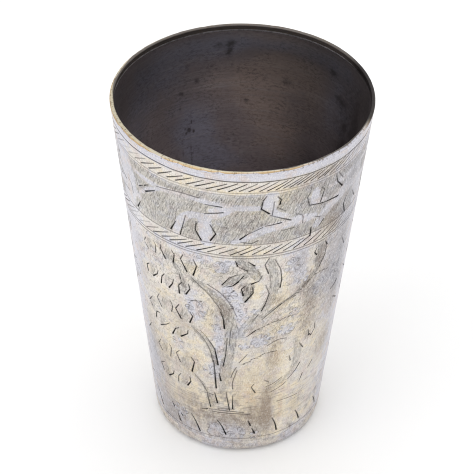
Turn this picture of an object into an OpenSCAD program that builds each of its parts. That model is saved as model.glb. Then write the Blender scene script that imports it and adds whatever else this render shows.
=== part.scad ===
// Engraved beaker: a tall, straight-sided drinking vessel of tinned sheet brass.
// The wall is a sheet rolled to a cone and closed by a brazed seam at the back. A shallow
// pan closes the foot, and a rounded ring finishes the mouth.
// Millimetres, +Z up, origin on the ground at the vessel's axis, seam towards +Y.

/* [Vessel] */
// Height of the vessel
height = 178; // [120:1:240]
// Outer diameter of the mouth
mouth_d = 115; // [90:1:150]
// Outer diameter that the wall's taper reaches at the ground
foot_d = 79; // [60:1:88]
// Thickness of the sheet
sheet_t = 1.2; // [0.8:0.1:1.6]

/* [Base pan] */
// Height at which the wall's lower edge meets the pan
pan_joint_z = 7.5; // [6:0.5:12]
// Outer radius of the pan's corner
pan_corner_r = 4.3; // [3:0.1:5]
// Height of the flange that tucks inside the wall
flange_h = 6; // [3:0.5:10]
// Thickness of the flange
flange_t = 0.9; // [0.6:0.1:1.2]
// Rise of the floor inside the standing ring
floor_rise = 2; // [1:0.5:4]
// Width of the flat ring that the vessel stands on
standing_w = 5; // [3:0.5:8]

/* [Mouth ring] */
// Thickness of the lip, across the mouth ring
lip_w = 1.6; // [1.3:0.1:2.4]
// Height of the ring above the wall's top edge
ring_h = 1.4; // [1:0.1:2.5]
// Depth of the ring's step inside the mouth, from the top
ring_step_h = 2.4; // [2.2:0.1:4]
// Radius of the lip's rounded edges
lip_round_r = 0.7; // [0.3:0.1:0.7]

/* [Seam and solder] */
// Width of the brazed seam
seam_w = 1.6; // [1:0.1:3]
// How far the seam stands proud inside
seam_bead = 0.2; // [0.1:0.05:0.5]
// Height of the solder fillet above the pan's flange
base_fillet_h = 1.2; // [0.6:0.1:2]
// Height of the solder run under the mouth ring's step
rim_fillet_h = 0.7; // [0.4:0.1:1.2]

/* [Turned lines] */
// Depth of a turned line
line_depth = 0.15; // [0.05:0.05:0.3]
// Width of a turned line
line_w = 0.6; // [0.3:0.1:1]
// Height of the foot's turned line above the pan's joint
foot_line_gap = 2.4; // [1:0.2:6]

/* [Hidden] */
$fn = 120;

// Growth of the radius with height, and the lean of the wall from upright
taper = (mouth_d - foot_d) / 2 / height;
lean = atan(taper);
// Thicknesses measured level, across the leaning wall
sheet_level = sheet_t / cos(lean);
flange_level = flange_t / cos(lean);
// Heights of the wall's top edge and of the ring's inner step
wall_top = height - ring_h;
step_z = height - ring_step_h;
// Heights of the flange's top and of the solder above it
flange_top = pan_joint_z + flange_h;
fillet_top = flange_top + base_fillet_h;
// Radius at which the centre of the pan's corner lies
corner_x = foot_d / 2 + taper * pan_corner_r - pan_corner_r / cos(lean);
// Inner edge of the standing ring, and the run of the slope up to the raised floor
standing_x = corner_x - standing_w;
slope_run = 3 * floor_rise;
// Steps in a rounded corner
arc_steps = 8;
// Distances of the turned lines below the mouth, from the lowest line up
line_drops = [49, 47.6, 41, 12.6, 11.2, 4.9];
// Heights of all the turned lines, from the foot up
line_heights = concat([pan_joint_z + foot_line_gap], [for (drop = line_drops) height - drop]);
// Reach of the cutter that opens the seam, past the sheet on both sides
seam_reach = 10;
// Height of the step where the pan's inner face turns in to the flange
joggle_h = 1.5;
// How much further out the floor's slope meets the ring on the upper face
floor_shift = 0.3;

// Outer radius of the wall at height z, and its inner radius
function outer_r(z) = foot_d / 2 + taper * z;
function inner_r(z) = outer_r(z) - sheet_level;

// Points of an arc about [cx, cz] from angle a to angle b
function arc(cx, cz, r, a, b) =
    [for (i = [0:arc_steps]) let (t = a + (b - a) * i / arc_steps) [cx + r * cos(t), cz + r * sin(t)]];

// The three points of a V-shaped turned line at height z
function turned_line(z) = [
    [outer_r(z - line_w / 2), z - line_w / 2],
    [outer_r(z) - line_depth, z],
    [outer_r(z + line_w / 2), z + line_w / 2]
];

// Outline of the sheet wall, with its turned lines
module wall_outline() {
    lines = [for (z = line_heights) each turned_line(z)];
    polygon(concat(
        [[inner_r(pan_joint_z), pan_joint_z], [outer_r(pan_joint_z), pan_joint_z]],
        lines,
        [[outer_r(wall_top), wall_top], [inner_r(wall_top), wall_top]]
    ));
}

// A slab at the back that follows the seam, of the given width
module seam_slab(width) {
    translate([-width / 2, foot_d / 2 - seam_reach, 0])
        cube([width, (mouth_d - foot_d) / 2 + 2 * seam_reach, height]);
}

// The rolled sheet, open along the seam
module wall() {
    color([0.74, 0.71, 0.66])
        difference() {
            rotate_extrude() wall_outline();
            seam_slab(seam_w);
        }
}

// The brazed strip that closes the sheet, flush outside and slightly proud inside
module wall_seam() {
    color([0.66, 0.60, 0.47])
        intersection() {
            rotate_extrude()
                polygon([
                    [inner_r(fillet_top) - seam_bead, fillet_top],
                    [inner_r(fillet_top), fillet_top],
                    [inner_r(pan_joint_z), pan_joint_z],
                    [outer_r(pan_joint_z), pan_joint_z],
                    [outer_r(wall_top), wall_top],
                    [inner_r(wall_top), wall_top],
                    [inner_r(step_z - rim_fillet_h), step_z - rim_fillet_h],
                    [inner_r(step_z - rim_fillet_h) - seam_bead, step_z - rim_fillet_h]
                ]);
            seam_slab(seam_w);
        }
}

// The pan: raised floor, standing ring, rounded corner, and a flange inside the wall
module base_pan() {
    inside_r = pan_corner_r - sheet_t;
    color([0.62, 0.58, 0.52])
        rotate_extrude()
            polygon(concat(
                [[0, floor_rise], [standing_x - slope_run, floor_rise], [standing_x, 0]],
                arc(corner_x, pan_corner_r, pan_corner_r, -90, -lean),
                [
                    [outer_r(pan_joint_z), pan_joint_z],
                    [inner_r(pan_joint_z), pan_joint_z],
                    [inner_r(flange_top), flange_top],
                    [inner_r(flange_top) - flange_level, flange_top],
                    [inner_r(pan_joint_z) - flange_level, pan_joint_z],
                    [inner_r(pan_joint_z - joggle_h), pan_joint_z - joggle_h]
                ],
                arc(corner_x, pan_corner_r, inside_r, -lean, -90),
                [
                    [standing_x + floor_shift, sheet_t],
                    [standing_x - slope_run, floor_rise + sheet_t],
                    [0, floor_rise + sheet_t]
                ]
            ));
}

// The fillet of solder where the pan's flange ends
module base_solder() {
    color([0.60, 0.60, 0.62])
        rotate_extrude()
            polygon([
                [inner_r(flange_top) - flange_level, flange_top],
                [inner_r(flange_top), flange_top],
                [inner_r(fillet_top), fillet_top]
            ]);
}

// The rounded ring on the wall's top edge, with its step inside the mouth
module rim_ring() {
    lip_x = outer_r(height);
    color([0.82, 0.69, 0.45])
        rotate_extrude()
            polygon(concat(
                [[inner_r(wall_top), wall_top], [outer_r(wall_top), wall_top]],
                arc(lip_x - lip_round_r, height - lip_round_r, lip_round_r, -lean, 90),
                arc(lip_x - lip_w + lip_round_r, height - lip_round_r, lip_round_r, 90, 180),
                [[lip_x - lip_w, step_z], [inner_r(step_z), step_z]]
            ));
}

// The fine run of solder under the ring's step
module rim_solder() {
    low = step_z - rim_fillet_h;
    color([0.78, 0.74, 0.66])
        rotate_extrude()
            polygon([
                [inner_r(low), low],
                [inner_r(step_z), step_z],
                [mouth_d / 2 - lip_w, step_z]
            ]);
}

wall();
wall_seam();
base_pan();
base_solder();
rim_ring();
rim_solder();
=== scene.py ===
"""Looks of the engraved brass beaker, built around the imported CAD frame.

Every piece is a mesh made here from the CAD's own sizes. The engraving is cut into the wall's
mesh. Its places are in degrees round the vessel (0 faces -Y, positive towards +X) and in
millimetres above the ground.
"""
import math

import bpy
import numpy as np
from mathutils import Matrix, Vector


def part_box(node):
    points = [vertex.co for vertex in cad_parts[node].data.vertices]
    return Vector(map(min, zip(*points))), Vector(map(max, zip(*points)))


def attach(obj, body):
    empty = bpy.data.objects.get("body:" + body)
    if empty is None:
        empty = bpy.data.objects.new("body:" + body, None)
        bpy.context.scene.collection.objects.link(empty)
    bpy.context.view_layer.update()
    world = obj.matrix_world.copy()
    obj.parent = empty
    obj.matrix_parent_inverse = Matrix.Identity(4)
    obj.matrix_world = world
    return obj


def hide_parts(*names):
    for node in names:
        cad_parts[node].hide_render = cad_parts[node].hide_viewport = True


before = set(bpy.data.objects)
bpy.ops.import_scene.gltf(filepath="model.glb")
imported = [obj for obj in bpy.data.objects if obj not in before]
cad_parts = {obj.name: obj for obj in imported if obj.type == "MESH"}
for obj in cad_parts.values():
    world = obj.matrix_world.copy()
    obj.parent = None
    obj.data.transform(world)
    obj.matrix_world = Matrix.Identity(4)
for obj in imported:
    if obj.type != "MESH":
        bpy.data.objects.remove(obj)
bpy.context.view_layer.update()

MM = 0.001


# ---------------------------------------------------------------- sizes from the frame

def box_mm(node):
    """Lowest and highest corner of a CAD node in millimetres."""
    low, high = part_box(node)
    return low / MM, high / MM


HEIGHT = box_mm("rim_ring")[1].z
WALL_LOW = box_mm("wall")[0].z
WALL_TOP = box_mm("wall")[1].z
STEP_Z = box_mm("rim_ring")[0].z
FLANGE_TOP = box_mm("base_pan")[1].z
FILLET_TOP = box_mm("base_solder")[1].z
SOLDER_LOW = box_mm("rim_solder")[0].z
SEAM_W = 2 * box_mm("wall_seam")[1].x
JOINT_R = box_mm("base_pan")[1].x
TAPER = (box_mm("rim_ring")[1].x - JOINT_R) / (HEIGHT - WALL_LOW)

# Sizes that the boxes don't give
SHEET = 1.2
FLANGE = 0.9
LIP_W = 1.6
LIP_ROUND = 0.7
CORNER_R = 4.3
STANDING_W = 5.0
FLOOR_RISE = 2.0
SLOPE_RUN = 3 * FLOOR_RISE
FLOOR_SHIFT = 0.3
JOGGLE = 1.5
JOINT_GROOVE = 0.3
# How far the seam stands proud inside. The CAD has 0.2, but the photo shows no line on the far wall.
SEAM_BEAD = 0.02

# A patch this many degrees wide goes all the way round
ALL_ROUND = 9999
# Radius in mm at which the materials' patterns have their true width
PATTERN_R = 48

# Columns round the wall and rows up it. The inside has a row for every INSIDE_STEP rows outside.
COLUMNS = 960
INSIDE_STEP = 4
INSIDE_ROWS = 137
ROWS = INSIDE_STEP * (INSIDE_ROWS - 1) + 1
# Columns round the turned pieces, steps in a rounded edge, and the seam's grid
RIM_COLUMNS = 720
PAN_COLUMNS = 480
ARC_STEPS = 10
SEAM_COLUMNS = 7
SEAM_ROWS = 340
# Faces that meet at more than this many degrees have a sharp edge
SHARP_ANGLE = 65

# Seeds and counts of the engraving
ENGRAVING_SEED = 7
INSIDE_SEED = 17
SCRATCH_COUNT = 6000
FOOT_SCRATCH_COUNT = 260


def outer_r(z):
    """Radius of the wall's outer face at height z."""
    return JOINT_R + TAPER * (z - WALL_LOW)


def inner_r(z):
    """Radius of the wall's inner face at height z."""
    return outer_r(z) - SHEET


def out_of_round(theta, z):
    """How far a hand-made mouth has moved from a true circle, growing towards the top."""
    angle = np.radians(theta)
    shape = 0.35 * np.sin(angle) + 0.25 * np.cos(2 * angle + 0.6) + 0.12 * np.sin(3 * angle)
    return shape * (np.asarray(z) / HEIGHT) ** 2


def place(radius, theta, z):
    """Points in millimetres from radius, degrees round and height."""
    angle = np.radians(theta)
    radius, angle, z = np.broadcast_arrays(radius, angle, z)
    return np.stack([radius * np.sin(angle), -radius * np.cos(angle), z], axis=-1)


def hump(x, middle, wide):
    """1 at the middle, and falling off to both sides."""
    return np.exp(-((x - middle) / wide) ** 2)


def smoothstep(low, high, x):
    """0 at low, 1 at high and smooth between them. low may be the larger."""
    t = np.clip((x - low) / (high - low), 0, 1)
    return t * t * (3 - 2 * t)


def value_noise(theta, z, cell_deg, cell_mm, seed):
    """Smooth noise from -1 to 1 on the vessel's surface. It closes up round the vessel."""
    around = max(3, int(round(360 / cell_deg)))
    up = int(HEIGHT / cell_mm) + 4
    lattice = np.random.default_rng(seed).uniform(-1, 1, (up, around))
    x = (np.asarray(theta) / 360 % 1) * around
    y = np.clip(np.asarray(z) / cell_mm + 1, 0, up - 2)
    x, y = np.broadcast_arrays(x, y)
    x0, y0 = np.floor(x).astype(int), np.floor(y).astype(int)
    fx, fy = x - x0, y - y0
    fx, fy = fx * fx * (3 - 2 * fx), fy * fy * (3 - 2 * fy)
    a, b = lattice[y0, x0 % around], lattice[y0, (x0 + 1) % around]
    c, d = lattice[y0 + 1, x0 % around], lattice[y0 + 1, (x0 + 1) % around]
    return (a * (1 - fx) + b * fx) * (1 - fy) + (c * (1 - fx) + d * fx) * fy


# ---------------------------------------------------------------- the engraved surface

class Surface:
    """A face of the wall as a grid, with what was cut into it and how it has aged, painted light and shade
    included.
    """

    FIELDS = ("ink", "matte", "cool", "warm", "stain_and_light", "dull", "rubbed", "brushed")

    def __init__(self, rows, radius):
        self.z = np.linspace(WALL_LOW, WALL_TOP, rows)[:, None]
        gap = np.degrees(np.arcsin(SEAM_W / 2 / radius(self.z)))
        self.theta = (180 - gap) * np.linspace(-1, 1, COLUMNS)[None, :]
        self.depth = np.zeros((rows, COLUMNS))
        for field in self.FIELDS:
            setattr(self, field, np.zeros((rows, COLUMNS)))

    def window(self, thetas, zs, reach):
        """The part of the grid within reach millimetres of some points, as slices and arrays."""
        low, high = min(zs) - reach, max(zs) + reach
        count = len(self.z)
        rows = (np.array([low, high]) - WALL_LOW) / (WALL_TOP - WALL_LOW) * (count - 1)
        r0, r1 = max(0, int(rows[0])), min(count, int(rows[1]) + 2)
        wide = math.degrees(reach / outer_r(WALL_LOW)) + 0.5
        cols = (np.array([min(thetas) - wide, max(thetas) + wide]) / 180 + 1) / 2 * (COLUMNS - 1)
        c0, c1 = max(0, int(cols[0]) - 2), min(COLUMNS, int(cols[1]) + 3)
        if r0 >= r1 or c0 >= c1:
            return None
        where = (slice(r0, r1), slice(c0, c1))
        return where, self.theta[where], self.z[r0:r1]

    def distance(self, points, reach):
        """Yields (window, distance in mm, share of the way along) for a line through points."""
        pts = np.array(points, float)
        lengths = [math.hypot(math.radians(b[0] - a[0]) * outer_r((a[1] + b[1]) / 2), b[1] - a[1])
                   for a, b in zip(pts, pts[1:])]
        total = max(sum(lengths), 1e-6)
        for turn in (-360, 0, 360):
            thetas = pts[:, 0] + turn
            found = self.window(thetas, pts[:, 1], reach)
            if found is None:
                continue
            where, theta, z = found
            best = np.full(theta.shape, 1e9)
            along = np.zeros(theta.shape)
            done = 0.0
            for i, length in enumerate(lengths):
                radius = outer_r(z)
                x = np.radians(theta - thetas[i]) * radius
                y = z - pts[i, 1]
                bx = math.radians(thetas[i + 1] - thetas[i]) * outer_r((pts[i, 1] + pts[i + 1, 1]) / 2)
                by = pts[i + 1, 1] - pts[i, 1]
                share = np.clip((x * bx + y * by) / max(length ** 2, 1e-9), 0, 1)
                d = np.hypot(x - share * bx, y - share * by)
                nearer = d < best
                best = np.where(nearer, d, best)
                along = np.where(nearer, (done + share * length) / total, along)
                done += length
            yield where, best, along

    def cut(self, points, width=0.7, depth=0.16, ink=1.0, start=0.45, end=1.0):
        """A burin cut: a V that starts fine and ends broad, dark in its bottom."""
        reach = width + 0.8
        for where, d, along in self.distance(points, reach):
            swell = start + (end - start) * along
            half = width / 2 * swell
            soft = half + 0.22
            groove = np.where(d < soft, 0.5 + 0.5 * np.cos(np.pi * np.clip(d / soft, 0, 1)), 0)
            self.depth[where] = np.maximum(self.depth[where], depth * swell * groove)
            dark = ink * smoothstep(half + 0.16, half - 0.16, d) * np.clip(0.55 + 0.45 * swell, 0, 1)
            self.ink[where] = np.maximum(self.ink[where], dark)
            burr = np.exp(-((d - soft - 0.12) / 0.16) ** 2) * depth * 0.22 * swell
            self.depth[where] -= burr

    def fill(self, field, points, widths, strength, soft):
        """Fills a band along points. widths are half-widths in mm, spread along it."""
        target = getattr(self, field)
        spread = np.linspace(0, 1, len(widths))
        for where, d, along in self.distance(points, max(widths) + soft):
            half = np.interp(along, spread, widths)
            band = strength * smoothstep(half + soft, half - soft, d)
            target[where] = np.maximum(target[where], band)

    def spot(self, field, theta, z, radius, strength, soft):
        """Fills a round spot."""
        self.fill(field, [(theta, z), (theta + 0.01, z)], [radius, radius], strength, soft)

    def patch(self, field, theta, z, wide, tall, strength):
        """Adds a soft patch, wide degrees and tall millimetres to each side."""
        across = (self.theta - theta + 180) % 360 - 180
        target = getattr(self, field)
        target += strength * np.exp(-(across / wide) ** 2 - ((self.z - z) / tall) ** 2)

    def value(self, field, theta, z):
        """A field's value at one place."""
        row = int(round((z - WALL_LOW) / (WALL_TOP - WALL_LOW) * (len(self.z) - 1)))
        column = int(round(((theta + 180) % 360) / 360 * (COLUMNS - 1)))
        return getattr(self, field)[min(max(row, 0), len(self.z) - 1), column]


def curve(points, steps):
    """A smooth line through the points (Catmull-Rom), with steps pieces between two points."""
    p = np.array([points[0], *points, points[-1]], float)
    out = []
    for a, b, c, d in zip(p, p[1:], p[2:], p[3:]):
        for k in range(steps):
            t = k / steps
            out.append(0.5 * (2 * b + (c - a) * t + (2 * a - 5 * b + 4 * c - d) * t ** 2
                              + (3 * b - a - 3 * c + d) * t ** 3))
    out.append(p[-2])
    return [tuple(q) for q in out]


# Kinds of cut: width mm, depth mm, ink
BOLD = dict(width=0.82, depth=0.20, ink=1.0, start=0.55)
PLAIN = dict(width=0.56, depth=0.15, ink=0.95, start=0.6)
THIN = dict(width=0.42, depth=0.10, ink=0.75, start=0.8)
# Widths in mm of the hatching and the scratches, which are finer than those
HATCH_W = 0.34
SCRATCH_W = 0.32

# The tree, in degrees from its own middle and millimetres above the ground.
# Pairs of angular brackets make the leaves in rows at the left.
TREE_BOLD = [
    [(-41, 125.5), (-41.5, 123), (-39, 118.5)], [(-34.5, 125.5), (-33, 123.5), (-34, 118.5)],
    [(-28, 125.5), (-29.5, 122.5), (-26.5, 116)], [(-22.5, 124.5), (-21, 121), (-23, 115)],
    [(-52.5, 108), (-55, 106), (-54.5, 102.5)], [(-45.5, 107.5), (-46.5, 105), (-50, 102)],
    [(-41, 108), (-43, 105.5), (-44, 101)], [(-35, 107.5), (-36, 104.5), (-38.5, 101)],
    [(-30, 108), (-32, 105.5), (-32, 100.5)], [(-26, 108.5), (-25.5, 105.5), (-28, 101.5)],
    [(-33, 93), (-35.5, 89.5), (-32.5, 84.5)], [(-26.5, 91), (-25, 88.5), (-27, 84)],
    [(-48.5, 80), (-51.5, 79), (-52.5, 75)], [(-34.5, 77.5), (-37, 76), (-39.5, 71.5)],
    [(-28.5, 78.5), (-29, 76), (-33.5, 72.5)], [(-28, 61), (-26, 58.5), (-28, 51.5)],
    [(-42, 45.5), (-43, 43), (-47, 40)], [(-30, 47), (-29.5, 44), (-32, 40.5)],
    [(-2, 127.5), (-1, 124.5)], [(4, 127), (7, 124.5)], [(-6, 111.5), (-3, 112.5), (-0.5, 115)],
    [(9.5, 115), (6, 113.5)], [(3, 112.5), (1, 110.5), (2, 106.5)], [(6.5, 111.5), (7, 108), (3, 102.5)],
    [(39.5, 125.5), (38.5, 123.5), (40, 121.5)], [(45, 127), (46.5, 124.5)],
    [(-9.5, 95.5), (-8, 91), (-7.5, 85)], [(-15.5, 75), (-13, 70.5), (-11.5, 60.5)],
    [(-14, 63), (-13.5, 55), (-13, 44.5)], [(-11, 55), (-10, 50)], [(-14, 41), (-12.5, 34.5)],
    [(57, 91), (61, 91.5), (63.5, 93)],
]
TREE_PLAIN = [
    [(-52.5, 123.5), (-54, 121)], [(-54, 120), (-51.5, 117.5)],
    [(-46, 125), (-45, 123.5), (-45.5, 118.5)], [(-54, 87), (-57.5, 83)], [(-57, 82.5), (-55, 80.5)],
    [(-47, 92.5), (-49, 89.5), (-46, 85)], [(-39, 93), (-37.5, 90), (-38.5, 86)],
    [(-41, 77.5), (-44, 75), (-49, 72)], [(-51.5, 61), (-54, 57.5), (-51, 54.5)],
    [(-43.5, 62.5), (-42, 61), (-43.5, 54.5)], [(-36, 62), (-38.5, 59.5), (-36, 54.5)],
    [(-50.5, 47), (-54, 45), (-52, 41)], [(-36.5, 46.5), (-38.5, 44), (-39, 40)],
    [(-60, 66.5), (-64, 62)], [(-31, 113), (-30.5, 110)], [(-0.5, 124), (4, 121.5)],
    [(-1, 119.5), (-5, 117), (-8.5, 112.5)], [(-0.5, 115), (2, 118.5)],
    [(14, 128.5), (12, 124.5), (14, 119)], [(13, 112), (15, 106.5), (13.5, 100.5), (11.5, 96)],
    [(16.5, 127.5), (20, 120.5), (21, 114), (20.5, 109)], [(46.5, 124), (46, 118.5), (43, 113)],
    [(-6, 79), (-7, 68), (-8.5, 60)], [(-19, 40.5), (-17, 30.5)], [(-7, 42.5), (-5, 30)],
    [(-3, 40.5), (-3, 31)], [(4, 80), (9, 84)], [(16, 94), (22, 98.5)], [(9.5, 48), (8, 46), (10.5, 42)],
    [(31, 46), (36, 50), (39, 54)], [(30.5, 62), (31.5, 58.5)], [(36.5, 68), (39.5, 64)],
    [(40.5, 40.5), (42.5, 45)], [(46.5, 46.5), (50, 50)], [(42, 74), (43, 70)],
    [(46.5, 76), (47.5, 72.5), (45, 69), (43.5, 70.5)], [(61, 119.5), (64, 114.5)],
    [(71, 97.5), (75, 94), (80, 90.5)], [(62, 83.5), (68, 79.5)], [(-24, 27.5), (-19, 28.8)],
]
TREE_THIN = [
    [(-9, 96), (-12, 101), (-17, 107), (-24, 113)], [(-1, 93), (-4, 100), (-9, 107), (-16, 111.5)],
    [(-4, 86), (-5, 74)], [(-26, 82), (-20, 77), (-16, 70), (-14.5, 62)],
    [(-21, 81), (-17, 77), (-14, 72)], [(-19, 40), (-15, 39.5)], [(-1, 60), (-3, 56), (-4, 53)],
    [(-0.5, 58), (-3, 50), (-3, 45)], [(5, 68.5), (0.5, 63)], [(-26, 50), (-22, 46), (-19, 41)],
    [(7, 90), (10, 94)], [(12, 90.5), (16, 94)], [(22, 98.5), (30, 102.5)],
    [(16, 73), (22, 75.5), (27, 75)], [(9.5, 115), (11, 118)], [(17, 45), (22, 46.5), (27, 49)],
    [(20, 40.5), (26, 42.5), (30, 44.5)], [(15.5, 50), (18.5, 48)], [(-18, 29), (-5, 29.3), (4, 28.5)],
    [(-16, 27.6), (-4, 27.8), (8, 27.2)], [(-12, 30.6), (-2, 30.9)], [(25, 33), (40, 32)],
]
# Branches and leaves that are filled with grey hatching: points, half-widths in mm, strength
TREE_HATCHED = [
    ([(-8, 37), (-8.5, 47), (-7, 60)], [1.2, 2.8, 2.8], 0.35),
    ([(-7, 60), (-4.5, 75), (-3.5, 86)], [2.8, 2.8, 3.2], 0.55),
    ([(-4, 86), (-6, 95), (-10, 102), (-16, 108.5), (-24, 112.5)], [3.1, 3.1, 2.2, 1.8, 1.5], 0.65),
    ([(-12.5, 60), (-14, 68), (-18, 75), (-25, 82)], [1.4, 1.5, 1.4, 1.2], 0.55),
    ([(0, 80), (5, 89), (11, 95), (16, 102)], [2, 1.9, 1.9, 2.4], 0.5),
    ([(16, 102), (17.5, 111), (16.5, 120), (14.5, 127)], [2, 2.3, 2.1, 1.2], 0.6),
    ([(12, 92), (20, 97.5), (30, 102.5), (36, 107), (41, 112)], [0.8, 0.8, 1, 1.4, 1.8], 0.7),
    ([(41, 112), (43, 119), (42.5, 127)], [1.8, 3, 2.4], 0.65),
    ([(-8, 112), (-3, 115.5), (3, 119.5)], [0.8, 2.2, 1.8], 0.7),
    ([(5, 112), (3.5, 104)], [2.4, 1.6], 0.9), ([(0, 127), (5, 122.5), (9, 117)], [1.6, 2.6, 1.8], 0.8),
    ([(17, 43), (25, 45.5), (32, 50), (35.5, 57), (35.5, 66), (33, 72)],
      [0.6, 1.3, 1.6, 2.2, 2.2, 1], 0.45),
    ([(-27, 50), (-21, 45), (-18, 38), (-16, 31)], [0.6, 0.9, 1.2, 1.2], 0.5),
    ([(-29, 107), (-31, 114), (-35, 121)], [1.4, 1.6, 1], 0.7), ([(-4, 133), (2, 128)], [2, 2.4], 0.5),
]
LEAF_CENTRES = [
    (-37.5, 122), (-25.5, 120), (-50, 121), (-50.5, 105), (-39.5, 104.5), (-29, 105), (-43.5, 89),
    (-30.5, 88), (-54, 83.5), (-47, 76), (-34, 75), (-48, 58), (-32.5, 57), (-48, 43.5), (-34, 43.5),
]
# Silvery blossoms: degrees, mm, radius in mm
BLOSSOMS = [
    (-22.5, 94, 5.5), (-36, 68, 3.8), (-16.5, 56, 3.6), (1.5, 98.5, 3), (2, 92, 3.2), (-4.5, 107, 3.2),
    (26, 81, 4.6), (12, 77, 4.8), (3, 74, 3), (27, 121, 5), (33, 111, 4), (46, 100, 5.5), (58, 104, 4.5),
    (-10.5, 71, 2.2), (-11, 78, 2.2), (-12, 85, 2.6), (-40, 20, 4.5), (-13, 15, 5.5), (0, 14, 4.5),
    (12, 12, 3.5), (-9, 123, 4.2), (-18, 126, 2.8), (8, 96, 2.2), (17, 79, 2.6), (31, 90, 3),
]
# Dotted scallops beside the stems: the line they follow
SCALLOPS = [
    [(9, 84), (15, 87), (22, 88), (29, 88.5)], [(2, 62), (8, 65), (15, 68), (21, 68)],
    [(28, 100), (34, 106), (41, 109), (50, 108)], [(-4, 98), (-6, 105), (-3, 110)],
    [(-20, 100), (-26, 98), (-28, 92)],
]

# The frieze between the rope bands
FRIEZE_BOLD = [
    [(-53, 143.5), (-56, 139)], [(-41, 156.5), (-47.5, 152.5)], [(-30.5, 144), (-33.5, 138.5)],
    [(-20, 147.5), (-20.5, 142.5), (-18, 137.5)], [(-13.5, 147.5), (-11, 142.5), (-13.5, 138.3)],
    [(11, 164.5), (9.5, 162), (9, 157.5), (12.5, 154.5)], [(16, 163.5), (17.5, 161.5), (17, 159)],
    [(3.5, 143.5), (0, 140.5)], [(45.5, 164.5), (47, 160), (51, 155.5)], [(34, 140.5), (34, 135.5)],
    [(57.5, 147), (55, 143), (57.5, 137)], [(39, 152.2), (49, 151)],
]
FRIEZE_PLAIN = [
    [(-45, 157.5), (-48, 155.5)], [(-49, 155), (-52, 153)], [(-25, 149.5), (-28.5, 137.3)],
    [(-16, 153.2), (-11, 154.5), (-7.5, 155.3)], [(-15.5, 158.7), (-8, 158.3)],
    [(13, 153.5), (18, 151), (23, 148.5)], [(31.5, 161.5), (30, 159), (31.5, 154), (39, 152.2)],
    [(37, 162), (39, 160), (37.5, 153.5)], [(11, 147.5), (18.5, 148.3)], [(63, 145.5), (66, 141)],
    [(38.5, 139), (41, 142)],
]
FRIEZE_THIN = [
    [(14.5, 161), (14, 153.5)], [(16, 157.5), (20, 154.5)], [(3.5, 143.5), (10, 147)],
    [(18.5, 143.5), (25, 143.8)], [(0, 139), (5, 138), (8, 139.5)],
    [(25, 151.5), (28.5, 149.5), (29, 145)], [(35.5, 146), (38.5, 144.5)], [(47, 165), (50.5, 160.5)],
    [(-8.3, 163.5), (-8, 162)], [(-40, 159.5), (-28, 161.8), (-18, 161.6)],
]
FRIEZE_PLAIN_AREAS = [
    ([(-54, 160.3), (-44, 159.8), (-35, 160), (-26, 161), (-18, 160.5), (-8, 159), (0, 158.4), (9, 158)],
      [0.8, 1.1, 1.1, 1, 1, 1.2, 1.4, 1]),
    ([(-52, 149.5), (-45, 155), (-39, 158.3)], [0.6, 1, 0.8]),
    ([(-4, 157), (-10, 153.2), (-17, 151.5), (-23, 150.7), (-27.5, 146), (-31, 138)],
      [1, 1.2, 1.4, 1.6, 1.7, 1.2]),
    ([(-16, 150), (-15.5, 138)], [2.4, 2.5]), ([(-13, 155.5), (-6, 157.5)], [0.9, 1.2]),
    ([(13.5, 164), (12.8, 157.5), (15.5, 154), (21, 151.5)], [2.6, 2.6, 1.4, 1]),
    ([(-3, 138.6), (3, 141), (10, 145.3), (18, 146.8), (27, 147.5), (35, 146.5)],
      [0.9, 1.4, 1.9, 2, 2.2, 1.4]),
    ([(34.5, 161), (34.5, 156), (40, 153.8)], [1.6, 1.9, 0.8]),
    ([(37, 141), (41, 146), (47, 150), (54, 153), (62, 156)], [1.6, 2.2, 2.3, 3.2, 4.5]),
    ([(58, 160), (68, 146), (72, 138)], [1.6, 3.5, 2.6]),
    ([(-66, 166), (-62, 152), (-64, 138)], [5, 5.5, 4]),
]

# Heights of the bands, from the turned lines that the CAD wall carries
LINE_MOUTH = HEIGHT - 4.9
LINES_UNDER_ROPE = (HEIGHT - 11.2, HEIGHT - 12.6)
LINES_LOW_ROPE = (HEIGHT - 41, HEIGHT - 47.6, HEIGHT - 49)
LINE_FOOT = WALL_LOW + 2.4
ROPE_HIGH = (HEIGHT - 10.4, HEIGHT - 6)
ROPE_LOW = (HEIGHT - 47, HEIGHT - 42.3)
FRIEZE = (HEIGHT - 40.5, HEIGHT - 13)

# Slanted strokes round the foot, at the front. They go on round the back, FOOT_GAP degrees apart.
FOOT_GAP = 18
FOOT_STROKES = [
    [(-31, 21), (-28, 16.5), (-25.5, 11)], [(-13, 22), (-10, 18), (-7.5, 12.5)], [(7, 22.5), (8.5, 19)],
    [(9.5, 17), (11.5, 13)], [(23, 21.5), (25.5, 17), (27, 12)], [(41, 20), (43.5, 16.5), (45.5, 12.5)],
    [(60, 19), (63, 15.5), (65, 12)], [(-47.5, 21.5), (-46, 19.5)], [(-40, 17.5), (-39, 16.5)],
    [(-43, 16), (-41, 11.5)],
]

# The hatching eats into the edges of the ribbons, so they are filled wider
RIBBON_SHARE = 1.25

# Where the tree and the frieze are repeated: middle, and the part that is used on each side of it
TREE_REPEATS = [(0, -90, 90), (180, -60, 66), (130, -57, -40), (-50, -57, -20)]
FRIEZE_REPEATS = [(0, -90, 90), (180, -60, 70), (96, -24, 24), (-88, -24, 30)]
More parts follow.
